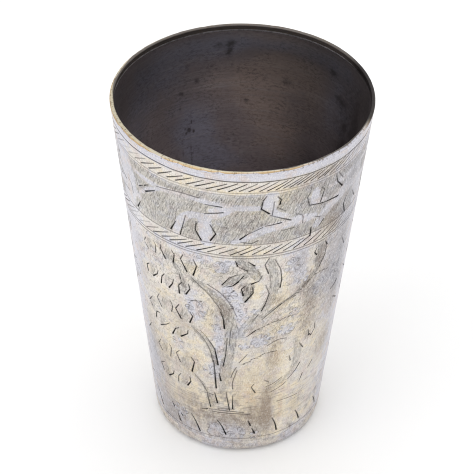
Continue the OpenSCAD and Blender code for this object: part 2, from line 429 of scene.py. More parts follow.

# How the tinning has worn and stained, with painted reflections, highlights and shade among the patches:
# degrees, mm, wide (degrees), tall (mm), strength
WARM_PATCHES = [
    (-30, 170, 25, 3, 0.3), (5, 170, 14, 3, 0.3), (0, 167, 24, 1, 0.7), (17, 162, 6, 7, 0.6),
    (10, 155, 5, 4, 0.6), (5, 133, 14, 5, 0.4), (-20, 120, 25, 8, 0.35), (-45, 100, 14, 8, 0.4),
    (-16, 88, 4, 10, 0.75), (-17, 104, 4, 5, 0.6), (8, 107, 3, 7, 0.6), (24, 118, 3, 8, 0.5),
    (22, 100, 8, 8, 0.7), (26, 86, 8, 6, 0.65), (-35, 72, 12, 12, 0.6), (-23, 62, 6, 7, 0.8),
    (22, 66, 4, 9, 0.85), (10, 58, 10, 14, 0.6), (28, 58, 5, 10, 0.2), (36, 75, 12, 14, 0.4),
    # The strip at 28 degrees and 30 mm on this line is a painted reflection: the bright upright band of the
    # lower wall.
    (5, 42, 14, 12, 0.7), (12, 31, 11, 14, 0.6), (28, 30, 3.5, 24, 0.9), (40, 32, 9, 16, 0.55),
    (-30, 36, 20, 12, 0.5), (-27, 22, 6, 6, 0.5), (3, 76, 5, 4, 0.4), (-52, 55, 12, 16, 0.35),
    (38, 102, 9, 12, 0.3), (15, 10, 20, 4, 0.7), (50, 55, 12, 12, 0.3), (-46, 57, 8, 8, 0.3),
    (-20, 60, 5, 4, 0.3), (52, 16, 12, 6, 0.4), (-60, 70, 7, 26, 0.45), (30, 108, 9, 6, 0.3),
    (50, 98, 8, 8, 0.5), (20, 80, 5, 4, 0.5), (22, 14, 8, 5, 0.3),
]
COOL_PATCHES = [
    (-55, 15, 9, 8, 0.5), (62, 138, 8, 10, 0.4),
    # The tall strips at -70 degrees on this line and 74 degrees on the next run along the left and right
    # edges seen from the front: silvery tin and painted reflection, the edges paler as they catch the
    # light.
    (-70, 100, 12, 90, 0.8), (-62, 45, 10, 14, 0.8), (48, 158, 18, 12, 0.5), (62, 150, 12, 25, 0.95),
    (60, 105, 12, 18, 1.1), (74, 70, 14, 70, 0.7), (28, 125, 6, 7, 0.8), (31, 112, 4, 8, 0.6),
    (44, 101, 7, 7, 0.7), (-5, 108, 4, 6, 0.7), (1, 93, 3, 10, 0.85), (-22, 94, 5, 6, 0.75),
    (-11, 76, 2.5, 18, 0.7), (-15, 57, 4, 4, 0.8), (-36, 68, 4, 4, 0.8), (11, 76, 7, 4, 0.6),
    (26, 80, 4, 5, 0.8), (-3, 15, 12, 6, 0.6), (-40, 18, 12, 8, 0.4), (18, 14, 8, 5, 0.2),
    (-18, 126, 12, 3, 0.6), (-30, 130, 14, 3, 0.4), (48, 40, 9, 12, 0.15),
]
# Stains, and painted reflection: the dark entries at 13-14 degrees low down are the dark side of the bright
# upright strip, and the negative entries at (-60, 148), (-55, 140) and round 27-30 degrees low down paint
# highlights.
STAINS_AND_REFLECTIONS = [
    (47, 138, 3, 2.2, 1.3), (35, 106.5, 2.5, 2, 1.2), (-48, 15, 26, 10, 0.5), (14, 21, 7, 6, 0.4),
    (13, 33, 8, 16, 0.2), (-23, 28, 6, 4, 0.3), (36, 11, 4, 2, 0.7), (-6, 96, 3, 8, 0.5),
    (-11, 98, 4, 6, 0.5), (-14, 38, 12, 5, 0.2), (-13, 65, 3, 6, 0.6), (3, 111, 3, 6, 0.5),
    (-28, 107, 4, 6, 0.5), (8, 83, 4, 3, 0.6), (-8, 24, 22, 6, 0.7), (42, 70, 4, 4, 0.6),
    (62, 93, 4, 3, 0.7), (42, 118, 3, 8, 0.5), (-48, 152, 5, 8, 0.5), (-5, 145, 8, 6, 0.4),
    (8, 148, 6, 4, 0.35), (25, 141, 12, 3, 0.4), (20, 158, 10, 6, 0.3), (42, 160, 14, 6, 0.6),
    (-10, 40, 14, 6, 0.3), (20, 70, 3, 8, 0.6), (-10, 11, 34, 4, 0.4), (-22, 143, 3, 5, 0.4),
    (-28, 164, 12, 2.5, 0.5), (-35, 171, 22, 5, -0.5), (0, 171, 14, 3, -0.3), (48, 144, 8, 5, 0.5),
    (40, 90, 8, 10, 0.3), (38, 80, 4, 10, 0.3), (-42, 122, 14, 5, 0.3), (28, 136, 10, 3, 0.3),
    (58, 20, 8, 12, 0.35), (27, 30, 2.5, 24, -0.7), (30, 60, 4, 14, -0.4), (-45, 99, 12, 4, -0.5),
    (10, 60, 6, 8, -0.4), (-60, 148, 8, 24, -1), (-38, 150, 5, 8, -0.3), (5, 50, 10, 5, -0.3),
    (-36, 78, 8, 5, -0.3), (12, 106, 3, 6, -0.4), (24, 116, 2.5, 8, -0.3), (-60, 110, 7, 20, -0.4),
    (50, 130, 5, 6, -0.2), (-55, 140, 8, 10, -1), (-30, 166, 30, 3, -0.7), (-30, 122, 7, 14, -0.5),
    (20, 116, 5, 8, -0.6), (20, 146, 7, 12, -0.5), (30, 56, 6, 9, -0.9), (30, 18, 4, 10, -0.6),
    (-10, 10, 40, 3, -0.3), (-15, 172, 40, 3, -0.5), (-12, 136, 9, 14, -0.4), (-46, 102, 8, 3, -0.5),
    (-43, 74, 6, 3, -0.4), (40, 67, 4, 3, -0.7), (8, 123, 6, 4, -0.5), (12, 95, 4, 4, -0.4),
]

# Places where the tin has gone dull, brown on the brass and grey where it is silvery. Some are painted
# shade: the darker right side round 50-65 degrees, and the upright band at 17-20 degrees low down, the dark
# side of the painted reflection strip.
DULLED_AND_SHADED = [
    (52, 165, 14, 3, 0.3), (58, 157, 9, 5, 0.35), (61, 120, 4, 12, 0.4), (60, 80, 4, 6, 0.35),
    (57, 56, 8, 7, 0.35), (-10, 57, 4, 5, 0.3), (42, 149, 16, 12, 0.15), (55, 120, 10, 30, 0.12),
    (-30, 86, 14, 8, 0.12), (-12, 92, 7, 10, 0.2), (-9, 101, 3, 7, 0.3), (-20, 150, 4, 5, 0.2),
    (30, 167, 8, 4, 0.25), (20, 101, 4, 4, 0.3), (40, 26, 4, 4, 0.35), (-60, 68, 4, 8, 0.3),
    (-60, 98, 5, 8, 0.3), (-50, 50, 6, 12, 0.15), (-30, 52, 5, 4, 0.25), (20, 42, 4, 8, 0.2),
    (0, 158, 6, 5, 0.25), (-35, 85, 6, 8, 0.15), (60, 172, 5, 3, 0.4), (50, 137, 4, 4, 0.3),
    (30, 123, 4, 5, 0.25), (20, 63, 4, 8, 0.4), (40, 78, 5, 6, 0.35), (60, 96, 4, 6, 0.4),
    (20, 18, 4, 6, 0.35), (33, 106, 7, 5, 0.3), (10, 88, 4, 5, 0.35), (10, 70, 4, 4, 0.25),
    (-8, 50, 8, 5, 0.15), (18, 26, 4, 5, 0.2), (-46, 96, 7, 5, 0.15), (10, 29, 4, 6, 0.45),
    (20, 22, 4, 7, 0.35), (20, 102, 3, 3, 0.3), (40, 101, 4, 3, 0.3), (50, 109, 5, 5, 0.25),
    (-30, 32, 4, 4, 0.3), (-60, 116, 4, 5, 0.3), (-55, 10, 8, 4, 0.25), (10, 53, 4, 4, 0.25),
    (52, 103, 15, 30, 0.55), (64, 120, 9, 40, 0.2), (62, 150, 12, 16, 0.1), (42, 144, 6, 4, 0.35),
    (50, 134, 8, 5, 0.35), (38, 170, 12, 4, 0.45), (38, 96, 5, 8, 0.2), (29, 117, 5, 12, 0.15),
    (20, 86, 8, 7, 0.22), (10, 78, 6, 5, 0.2), (-10, 118, 6, 6, 0.25), (-10, 92, 5, 8, 0.25),
    (-30, 81, 6, 6, 0.2), (-58, 50, 12, 22, 0.45), (-32, 54, 12, 6, 0.25), (-36, 24, 22, 11, 0.4),
    (17, 30, 4, 13, 0.65), (-50, 15, 10, 7, 0.5), (-2, 10, 16, 3, 0.35), (-2, 55, 10, 6, 0.25),
    (19, 62, 5, 12, 0.22), (19, 36, 4, 12, 0.35), (6, 20, 15, 6, 0.45), (60, 58, 8, 8, 0.15),
    (63, 92, 6, 12, 0.45), (60, 62, 5, 6, 0.3), (30, 122, 5, 6, 0.25), (40, 92, 4, 12, 0.35),
    (20, 74, 4, 3, 0.35), (40, 137, 6, 5, 0.2), (50, 138, 6, 4, 0.4), (60, 158, 5, 4, 0.5),
    (47, 170, 12, 4, 0.2), (-60, 53, 5, 8, 0.2), (0, 26, 8, 4, 0.2),
]
# Places that are rubbed bright, and painted highlights: (-54, 139) and the spots at 30 degrees low down on
# the bright strip
RUBBED_AND_HIGHLIGHTS = [
    (-60, 130, 4, 5, 0.4), (-42, 103, 6, 4, 0.35), (-28, 117, 4, 5, 0.3), (60, 39, 5, 5, 0.5),
    (20, 117, 4, 4, 0.25), (-30, 172, 5, 2, 0.4), (10, 172, 5, 2, 0.4), (-10, 165, 5, 2, 0.3),
    (-30, 158, 4, 3, 0.35), (-54, 139, 9, 8, 0.5), (-30, 137, 4, 3, 0.35), (20, 150, 4, 4, 0.35),
    (-30, 116, 4, 3, 0.35), (-45, 102, 7, 3, 0.5), (10, 95, 3, 3, 0.4), (-50, 74, 4, 3, 0.35),
    (40, 67, 4, 3, 0.35), (30, 56, 4, 7, 0.45), (30, 32, 3, 4, 0.4), (30, 16, 4, 5, 0.5),
    (50, 11, 5, 3, 0.45), (-20, 39, 4, 3, 0.3), (-20, 60, 4, 3, 0.25), (-20, 10, 4, 3, 0.3),
    (-10, 132, 8, 4, 0.2),
]
# Dark smears with firmer edges: points, half-widths in mm, strength. The first, at 17-20 degrees low down,
# is the painted dark side of the reflection strip.
SMEARS_AND_REFLECTION = [
    ([(17, 40), (19, 27), (20, 12)], [1, 2.2, 1.6], 0.5),
    ([(-14, 27), (4, 25.5), (19, 25)], [1.5, 3, 3.5], 0.4),
    ([(14, 91), (24, 98), (35, 106), (44, 113)], [0.4, 0.6, 1.4, 1], 0.5),
    ([(34, 105), (37, 108.5)], [1.2, 1], 1), ([(2, 52), (0, 44), (0, 34)], [1, 1.6, 1.2], 0.3),
    ([(-30, 62), (-24, 56)], [2, 2], 0.35), ([(38, 103), (42, 101)], [2, 2], 0.3),
]
# Where the ground is scratched most: degrees, mm, wide (degrees), tall (mm), how many strokes
SCRATCHED = [
    (-30, 117, 16, 9, 260), (40, 96, 12, 18, 320), (20, 90, 10, 9, 130), (-6, 121, 8, 6, 110),
    (30, 60, 8, 12, 50), (-40, 58, 12, 18, 150), (50, 124, 8, 8, 90), (0, 17, 30, 4, 260),
]


def motif(surface, strokes, kind, centre, low, high, rng, jitter):
    """Cuts the strokes whose middle lies between low and high degrees, moved to centre."""
    for points in strokes:
        middle = sum(p[0] for p in points) / len(points)
        moves = rng.uniform(-1, 1, 2) * jitter
        if not low <= middle <= high:
            continue
        line = [(p[0] + centre + moves[0], p[1] + moves[1]) for p in points]
        if kind is THIN and len(line) > 2:
            line = curve(line, 4)
        surface.cut(line, **kind)


def degrees_for(mm, z):
    """How many degrees round the wall a length is, at height z."""
    return math.degrees(mm / outer_r(z))


def moved(points, centre):
    """A line's points, centre degrees further round."""
    return [(theta + centre, z) for theta, z in points]


def beside(theta, z, reach, angle):
    """The point that lies reach millimetres from a place. angle is in radians from level."""
    return theta + degrees_for(reach * math.cos(angle), z), z + reach * math.sin(angle)


def dash(surface, theta, z, reach, angle, *cut):
    """A short straight cut about a place, reach millimetres to each side."""
    surface.cut([beside(theta, z, -reach, angle), beside(theta, z, reach, angle)], *cut)


def blossom(surface, theta, z, radius, rng):
    """A silvery flower: scalloped petals with faint outlines and short radial dashes."""
    surface.spot("cool", theta, z, radius * 0.55, 0.7, radius * 0.5)
    petals = max(4, int(radius * 1.5))
    for k in range(petals):
        angle = 2 * math.pi * (k + rng.uniform(-0.3, 0.3)) / petals
        reach = radius * rng.uniform(0.5, 0.75)
        x, y = beside(theta, z, reach, angle)
        size = radius * rng.uniform(0.24, 0.36)
        surface.spot("cool", x, y, size * 0.8, 0.95, 0.5)
        first = angle + rng.uniform(-2.2, -1.2)
        turns = [first + t * 0.45 for t in range(int(rng.integers(4, 8)))]
        ring = [(x + degrees_for(size * math.cos(t), z), y + size * math.sin(t)) for t in turns]
        surface.cut(ring, HATCH_W, 0.05, rng.uniform(0.35, 0.7), 0.9, 0.9)
        for _ in range(2):
            near, far = radius * rng.uniform(0.2, 0.5), radius * rng.uniform(0.6, 1)
            way = angle + rng.uniform(-0.6, 0.6)
            surface.cut([beside(theta, z, near, way), beside(theta, z, far, way)],
                        HATCH_W, 0.05, rng.uniform(0.25, 0.65), 0.8, 0.8)


def scallops(surface, points, centre, rng):
    """A row of small nicks along a stem."""
    line = curve(moved(points, centre), 5)
    for a, b in zip(line, line[1:]):
        t = rng.uniform(0.1, 0.5)
        x, z = a[0] + (b[0] - a[0]) * t, a[1] + (b[1] - a[1]) * t
        surface.cut([(x, z), (x + rng.uniform(0.7, 1.4), z + rng.uniform(-0.4, 0.9))], 0.6, 0.1, 0.7)


def hatch_along(surface, line, widths, strength, rng, per_mm=1.6):
    """Short strokes inside a stem or leaf, more or less along it."""
    spread = np.linspace(0, 1, len(widths))
    for i, (a, b) in enumerate(zip(line, line[1:])):
        dx = math.radians(b[0] - a[0]) * outer_r(a[1])
        dz = b[1] - a[1]
        length = math.hypot(dx, dz)
        half = np.interp(i / max(1, len(line) - 1), spread, widths)
        for _ in range(int(length * half * per_mm * 1.1 + rng.random())):
            t, u = rng.random(), rng.uniform(-0.95, 0.95)
            x = a[0] + (b[0] - a[0]) * t + degrees_for(-dz / length * u * half, a[1])
            z = a[1] + dz * t + dx / length * u * half
            lean = math.atan2(dz, dx) + rng.uniform(-0.3, 0.3)
            reach = rng.uniform(0.7, 1.4)
            ink = strength * rng.uniform(0.25, 0.85) * (1.2 if abs(u) > 0.6 else 0.8)
            dash(surface, x, z, reach, lean, HATCH_W, 0.045, ink, 0.9, 0.7)


def hatch_ground(surface, low, high, rng):
    """The matted ground of the frieze: short strokes that lean to the right, all the way round."""
    z = low + 0.6
    while z < high:
        theta = -179.0 + rng.uniform(0, 1)
        while theta < 179:
            x, y = theta + rng.uniform(-0.4, 0.4), z + rng.uniform(-0.7, 0.7)
            if surface.value("cool", x, y) < 0.3:
                reach = rng.uniform(0.8, 1.5)
                lean = degrees_for(reach * rng.uniform(0.2, 0.6), y)
                surface.cut([(x - lean, y - reach), (x + lean, y + reach)],
                            HATCH_W, 0.05, rng.uniform(0.08, 0.62), 1, 0.6)
            theta += degrees_for(rng.uniform(0.9, 1.4), z)
        z += 1.9


def tree(surface, centre, low, high, rng, jitter):
    """One tree with its leaves and blossoms, between low and high degrees from its middle."""
    for points, widths, strength in TREE_HATCHED:
        if low <= points[len(points) // 2][0] <= high:
            line = curve(moved(points, centre), 4)
            surface.fill("matte", line, widths, strength, 0.6)
            hatch_along(surface, line, widths, strength, rng)
    for theta, z in LEAF_CENTRES:
        if low <= theta <= high:
            leaf = [(theta + centre - 1, z - 2.6), (theta + centre + 1, z + 2.6)]
            surface.fill("matte", leaf, [1.7, 1.7], 0.5, 1)
            hatch_along(surface, leaf, [1.5, 1.5], 0.6, rng, 1.2)
    for theta, z, radius in BLOSSOMS:
        if low <= theta <= high:
            blossom(surface, theta + centre, z, radius, rng)
    for strokes, kind in ((TREE_BOLD, BOLD), (TREE_PLAIN, PLAIN), (TREE_THIN, THIN)):
        motif(surface, strokes, kind, centre, low, high, rng, jitter)
    for points in SCALLOPS:
        if low <= points[0][0] <= high:
            scallops(surface, points, centre, rng)


def scratch(surface, theta, z, reach, lean, ink):
    """One faint stroke about a point, lean in degrees from level."""
    dash(surface, theta, z, reach, math.radians(lean), SCRATCH_W, 0.03, ink, 0.9, 0.7)


def scratches(surface, low, high, rng):
    """Faint strokes all over the ground between two heights, and the level lines of the foot."""
    places = [(rng.uniform(-180, 180), rng.uniform(low, high)) for _ in range(SCRATCH_COUNT)]
    for theta, z, wide, tall, count in SCRATCHED:
        places += [(rng.normal(theta, wide * 0.6), rng.normal(z, tall * 0.6)) for _ in range(count)]
    for theta, z in places:
        lean = rng.choice([72, 4, 118, 45], p=[0.5, 0.2, 0.15, 0.15]) + rng.uniform(-14, 14)
        faint = 0.4 + 0.6 * smoothstep(50, 100, z)
        if surface.value("cool", theta, z) > 0.6:
            faint *= 0.5
        if low <= z <= high:
            scratch(surface, theta, z, rng.uniform(0.4, 1.2), lean, faint * rng.uniform(0.1, 0.6))
    for _ in range(FOOT_SCRATCH_COUNT):
        scratch(surface, rng.uniform(-180, 180), rng.triangular(19, 26, 40), rng.uniform(2, 7),
                rng.uniform(-2, 2), rng.uniform(0.06, 0.3))


def level_line(z):
    """Points all the way round at one height."""
    return [(theta, z) for theta in range(-180, 181, 10)]


def ribbons(surface, centre, low, high):
    """The plain silvery ribbons of the frieze, between low and high degrees."""
    for points, widths in FRIEZE_PLAIN_AREAS:
        if low <= points[len(points) // 2][0] <= high:
            line = curve(moved(points, centre), 4)
            surface.fill("cool", line, [w * RIBBON_SHARE for w in widths], 0.9, 0.35)


def glyphs(surface, centre, low, high, rng, jitter):
    """The angular strokes of the frieze, between low and high degrees."""
    for strokes, kind in ((FRIEZE_BOLD, BOLD), (FRIEZE_PLAIN, PLAIN), (FRIEZE_THIN, THIN)):
        motif(surface, strokes, kind, centre, low, high, rng, jitter)


def rope(surface, low, high, spacing, slant, tight, worn, rng):
    """A rope band: slanted cuts all the way round, close together near the tight places.

    They are faint near the worn places.
    """
    theta = -180.0
    while theta < 180 - spacing * 0.6:
        lean = slant * rng.uniform(0.9, 1.1)
        wobble = rng.uniform(-0.25, 0.25, 2)
        rubbed = max(math.exp(-((theta - middle) / 10) ** 2) for middle in worn)
        close = max(math.exp(-((theta - middle) / 22) ** 2) for middle in tight)
        ends = [(theta, low + 0.2 + wobble[0]), (theta + lean, high - 0.1 + wobble[1])]
        depth, ink = 0.15 * (1 - 0.7 * rubbed), rng.uniform(0.75, 1) * (1 - 0.8 * rubbed)
        surface.cut(ends, 0.6 - 0.12 * close, depth, ink, 0.95, 0.7)
        theta += spacing * (1 - 0.38 * close) * rng.uniform(0.85, 1.15)
    surface.fill("warm", level_line((low + high) / 2), [(high - low) / 2] * 2, 0.08, 0.6)


def turned_line(surface, z, depth, ink, rng, drift=0.0):
    """A line turned round the wall, a little uneven as a hand-held tool leaves it."""
    thetas = np.arange(-180, 181, 6)
    wave = rng.uniform(-0.12, 0.12, len(thetas)) + drift * np.sin(np.radians(2 * thetas + 200))
    surface.cut(list(zip(thetas, z + wave)), 0.5, depth, ink, 1, 1)


def lay_patches(surface, field, patches):
    """Adds a table of patches to a field."""
    for theta, z, wide, tall, strength in patches:
        surface.patch(field, theta, z, wide, tall, strength)


def scatter_patches(surface, field, count, ranges, share, rng):
    """Adds random patches. ranges are those of degrees, mm, width, height and strength."""
    for _ in range(count):
        theta, z, wide, tall, strength = [rng.uniform(low, high) for low, high in ranges]
        surface.patch(field, theta, z, wide, tall, share * strength)


# Patches scattered where the front view doesn't reach: how many for each field, and the ranges of
# degrees, mm, wide (degrees), tall (mm) and strength
BACK_COUNT = 26
BACK_RANGES = [(95, 265), (8, 172), (3, 12), (4, 14), (0.3, 0.8)]
INSIDE_COUNT = 14
INSIDE_RANGES = [(-90, 90), (10, 172), (2, 12), (2, 14), (0.2, 0.7)]


def age_and_light(surface, rng):
    """Warm, silvery, stained, dull and bright patches, painted reflections, highlights and shade among
    them: placed at the front, scattered at the back.
    """
    tables = (("warm", WARM_PATCHES, 1), ("cool", COOL_PATCHES, 1), ("stain_and_light", STAINS_AND_REFLECTIONS, 1),
              ("dull", DULLED_AND_SHADED, 0.35), ("rubbed", RUBBED_AND_HIGHLIGHTS, 0.5))
    for field, patches, share in tables:
        lay_patches(surface, field, patches)
        scatter_patches(surface, field, BACK_COUNT, BACK_RANGES, share, rng)
    for points, widths, strength in SMEARS_AND_REFLECTION:
        surface.fill("dull", curve(points, 4), widths, strength, 1.3)
    surface.patch("stain_and_light", 0, WALL_LOW, ALL_ROUND, 3, 0.45)
    surface.patch("cool", 0, WALL_LOW, ALL_ROUND, 5, 0.4)
    surface.patch("brushed", 0, 33, ALL_ROUND, 13, 1)
    surface.patch("dull", 0, 26, ALL_ROUND, 34, 0.1)
    for field in ("warm", "cool"):
        np.clip(getattr(surface, field), 0, 1.1, out=getattr(surface, field))


def engrave():
    """The wall's outer face with all its engraving."""
    s = Surface(ROWS, outer_r)
    rng = np.random.default_rng(ENGRAVING_SEED)
    age_and_light(s, rng)
    middle, half = sum(FRIEZE) / 2, (FRIEZE[1] - FRIEZE[0]) / 2
    s.fill("matte", level_line(middle), [half, half], 0.8, 0.5)
    patched_cool, s.cool = s.cool, np.zeros_like(s.cool)
    for centre, low, high in FRIEZE_REPEATS:
        ribbons(s, centre, low, high)
    s.cool *= 0.8 + 0.2 * value_noise(s.theta, s.z, 4, 3, 5)
    hatch_ground(s, *FRIEZE, rng)
    s.matte *= 1 - s.cool
    s.cool = np.maximum(patched_cool, s.cool)
    for centre, low, high in FRIEZE_REPEATS:
        glyphs(s, centre, low, high, rng, 0.5 if centre else 0)
    for centre, low, high in TREE_REPEATS:
        tree(s, centre, low, high, rng, 0.6 if centre else 0)
    scratches(s, WALL_LOW + 3, LINES_LOW_ROPE[2] - 1, rng)
    rope(s, *ROPE_HIGH, 4.9, 8.2, (24, -130, 170), (-62, 58, 140), rng)
    rope(s, *ROPE_LOW, 5, 9, (-100, 100), (58, -60, -110), rng)
    turned_line(s, LINE_MOUTH, 0.14, 0.75, rng, 0.6)
    for z in LINES_UNDER_ROPE:
        turned_line(s, z, 0.12, 0.34, rng)
    for z in LINES_LOW_ROPE:
        turned_line(s, z, 0.10, 0.5, rng)
    turned_line(s, LINE_FOOT, 0.08, 0.4, rng)
    s.fill("cool", level_line(HEIGHT - 3), [1.7, 1.7], 0.8, 0.4)
    for line in FOOT_STROKES:
        s.cut(curve(line, 3), **BOLD)
    for top in range(77, 300, FOOT_GAP):
        top += rng.uniform(-1.2, 1.2)
        foot = rng.uniform(4.6, 6)
        s.cut(curve([(top, 22), (top + foot * 0.55, 18), (top + foot, 12.5)], 3), **BOLD)
    return s


def relief(s):
    """How far the outer face stands out from the true cone, in mm."""
    beaten = 0.05 * value_noise(s.theta, s.z, 15, 12, 3) + 0.025 * value_noise(s.theta, s.z, 6, 5, 4)
    return beaten - 0.03 * s.matte - s.depth


# ---------------------------------------------------------------- meshes

# The fields that the inside's colour is worked out from, painted light and shade among them
AGE_AND_LIGHT_FIELDS = ("cool", "warm", "stain_and_light", "dull")


def new_mesh(name, points, faces, material, node, attributes=None):
    """A smooth mesh object from points in mm and lists of equal-sided faces. It rides on the root."""
    mesh = bpy.data.meshes.new(name)
    points = np.asarray(points, np.float32) * MM
    mesh.vertices.add(len(points))
    mesh.vertices.foreach_set("co", points.ravel())
    loops = np.concatenate([f.ravel() for f in faces])
    sizes = np.concatenate([np.full(len(f), f.shape[1]) for f in faces])
    starts = np.concatenate([[0], np.cumsum(sizes)[:-1]])
    mesh.loops.add(len(loops))
    mesh.loops.foreach_set("vertex_index", loops.astype(np.int32))
    mesh.polygons.add(len(sizes))
    mesh.polygons.foreach_set("loop_start", starts.astype(np.int32))
    mesh.update(calc_edges=True)
    mesh.validate()
    mesh.polygons.foreach_set("use_smooth", np.ones(len(mesh.polygons), bool))
    mesh.set_sharp_from_angle(angle=math.radians(SHARP_ANGLE))
    for key, values in (attributes or {}).items():
        if values.ndim == 1:
            mesh.attributes.new(key, "FLOAT", "POINT").data.foreach_set("value", values.astype(np.float32))
        else:
            data = mesh.attributes.new(key, "FLOAT_VECTOR", "POINT").data
            data.foreach_set("vector", values.astype(np.float32).ravel())
    mesh.materials.append(material)
    piece = bpy.data.objects.new(name, mesh)
    bpy.context.scene.collection.objects.link(piece)
    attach(piece, "root")
    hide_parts(node)


def quads(rows, columns, first=0, flip=False):
    """Faces of a grid of points numbered row by row."""
    i = first + np.arange(rows - 1)[:, None] * columns + np.arange(columns - 1)[None, :]
    face = np.stack([i, i + 1, i + columns + 1, i + columns], axis=-1).reshape(-1, 4)
    return face[:, ::-1] if flip else face


def surface_coordinates(theta, z):
    """Millimetres round the vessel and up it, for the patterns in the materials."""
    theta, z = np.broadcast_arrays(theta, z)
    around = np.radians(theta) * PATTERN_R
    return np.stack([around.ravel(), z.ravel(), np.zeros(theta.size)], axis=-1)


# Patches of the oxidised inside, painted shade among its stains: degrees, mm, wide (degrees), tall (mm),
# strength
INSIDE_COOL = [
    (170, 169, 70, 5, 0.6), (128, 150, 14, 20, 0.5), (-112, 140, 12, 26, 0.2),
    (-155, 120, 14, 16, 0.9), (-150, 135, 14, 12, 0.4), (-170, 108, 16, 8, 0.6), (-140, 160, 18, 12, 0.6),
    (-170, 166, 14, 8, 0.4), (-120, 150, 14, 18, 0.4), (115, 150, 14, 20, 0.3),
]
INSIDE_WARM = [
    (172, 145, 14, 14, 0.9), (158, 158, 16, 12, 0.7), (170, 172, 26, 3, 0.5), (-170, 150, 12, 10, 0.4),
    (160, 122, 16, 16, 0.7), (-125, 140, 14, 10, 0.3), (140, 150, 14, 20, 0.5),
]
INSIDE_STAINS_AND_SHADE = [
    (-151.5, 127, 1.3, 1.3, 1.1), (-154, 126, 0.8, 1, 1), (-149.5, 125.5, 0.8, 1, 0.9),
    (-149, 128.5, 0.7, 1, 0.8), (-152, 114, 0.9, 8, 0.45), (-147, 116, 0.8, 6, 0.4),
    (-153, 131, 0.6, 1.2, 0.8), (-147, 139, 1, 1, 0.8), (178, 139, 2, 1.2, 0.7), (175, 137, 3, 0.9, 0.5),
    (180, 141.5, 1.5, 1.5, 0.4), (157, 151, 3, 2, 0.6), (-174, 166, 2, 4, 0.6), (-176, 169, 3, 1.5, 0.5),
    (-169, 168, 3, 2, 0.5), (-171, 163, 4, 1.5, 0.4), (-157, 152, 2, 2, 0.6), (-148, 147, 2, 1.5, 0.6),
    (-152, 160, 1.5, 2, 0.5), (-165, 158, 2, 1.5, 0.5), (125, 154, 4, 2, 0.4), (132, 165, 3, 2, 0.6),
    # The broad patches at 108-120 degrees on this line and the next are painted shade under the rim on the
    # right
    (118, 143, 1.5, 1.5, 0.7), (117, 134, 1.5, 1.5, 0.6), (120, 145, 10, 20, 0.35),
    (112, 160, 14, 24, 0.25), (118, 124, 5, 12, 0.5), (108, 138, 5, 20, 0.7), (-143, 112, 2, 8, 0.4),
]
# Painted light and shade inside: places that are lighter or darker than the rest
INSIDE_LIGHT = [
    (-165, 146, 13, 15, 0.25), (-128, 108, 16, 9, 0.5), (-142, 130, 12, 10, -0.15),
    (106, 130, 9, 10, -0.25), (122, 126, 8, 8, -0.2), (135, 114, 9, 5, -0.35), (-120, 138, 6, 9, -0.2),
    (94, 150, 12, 26, -0.2),
]


def oxidised_and_shaded_inside():
    """The wall's inner face, with the places where it has darkened, and its painted light and shade.

    The field that is dull tin outside is a brightness here, which the inside's colour is multiplied by:
    painted light and shade, darker towards the mouth and on the right and at the upper left, brighter
    further down.
    """
    s = Surface(INSIDE_ROWS, inner_r)
    rng = np.random.default_rng(INSIDE_SEED)
    for field, patches in (("cool", INSIDE_COOL), ("warm", INSIDE_WARM), ("stain_and_light", INSIDE_STAINS_AND_SHADE)):
        lay_patches(s, field, patches)
        scatter_patches(s, field, INSIDE_COUNT, INSIDE_RANGES, 1, rng)
    s.patch("stain_and_light", 0, FILLET_TOP, ALL_ROUND, 12, 0.5)
    # Painted shade on the right of the inside and at its upper left, and painted light growing further down
    right = smoothstep(185, 140, s.theta) * smoothstep(60, 100, s.theta)
    right *= 0.42 + 0.16 * smoothstep(158, 132, s.z)
    left = smoothstep(-148, -122, s.theta) * smoothstep(-60, -100, s.theta) * smoothstep(140, 160, s.z)
    s.dull = (0.6 + 1.45 * smoothstep(172, 112, s.z)) * (1 - right) * (1 - 0.25 * left)
    lay_patches(s, "dull", INSIDE_LIGHT)
    return s


def uneven_inside(theta, z):
    """How far the inner face stands out from the true cone, in mm: turning rings and dents."""
    rings = 0.05 * np.sin(z * 0.55) + 0.03 * value_noise(theta, z, 60, 2.5, 8)
    return rings + 0.05 * value_noise(theta, z, 14, 11, 9) + out_of_round(theta, z)


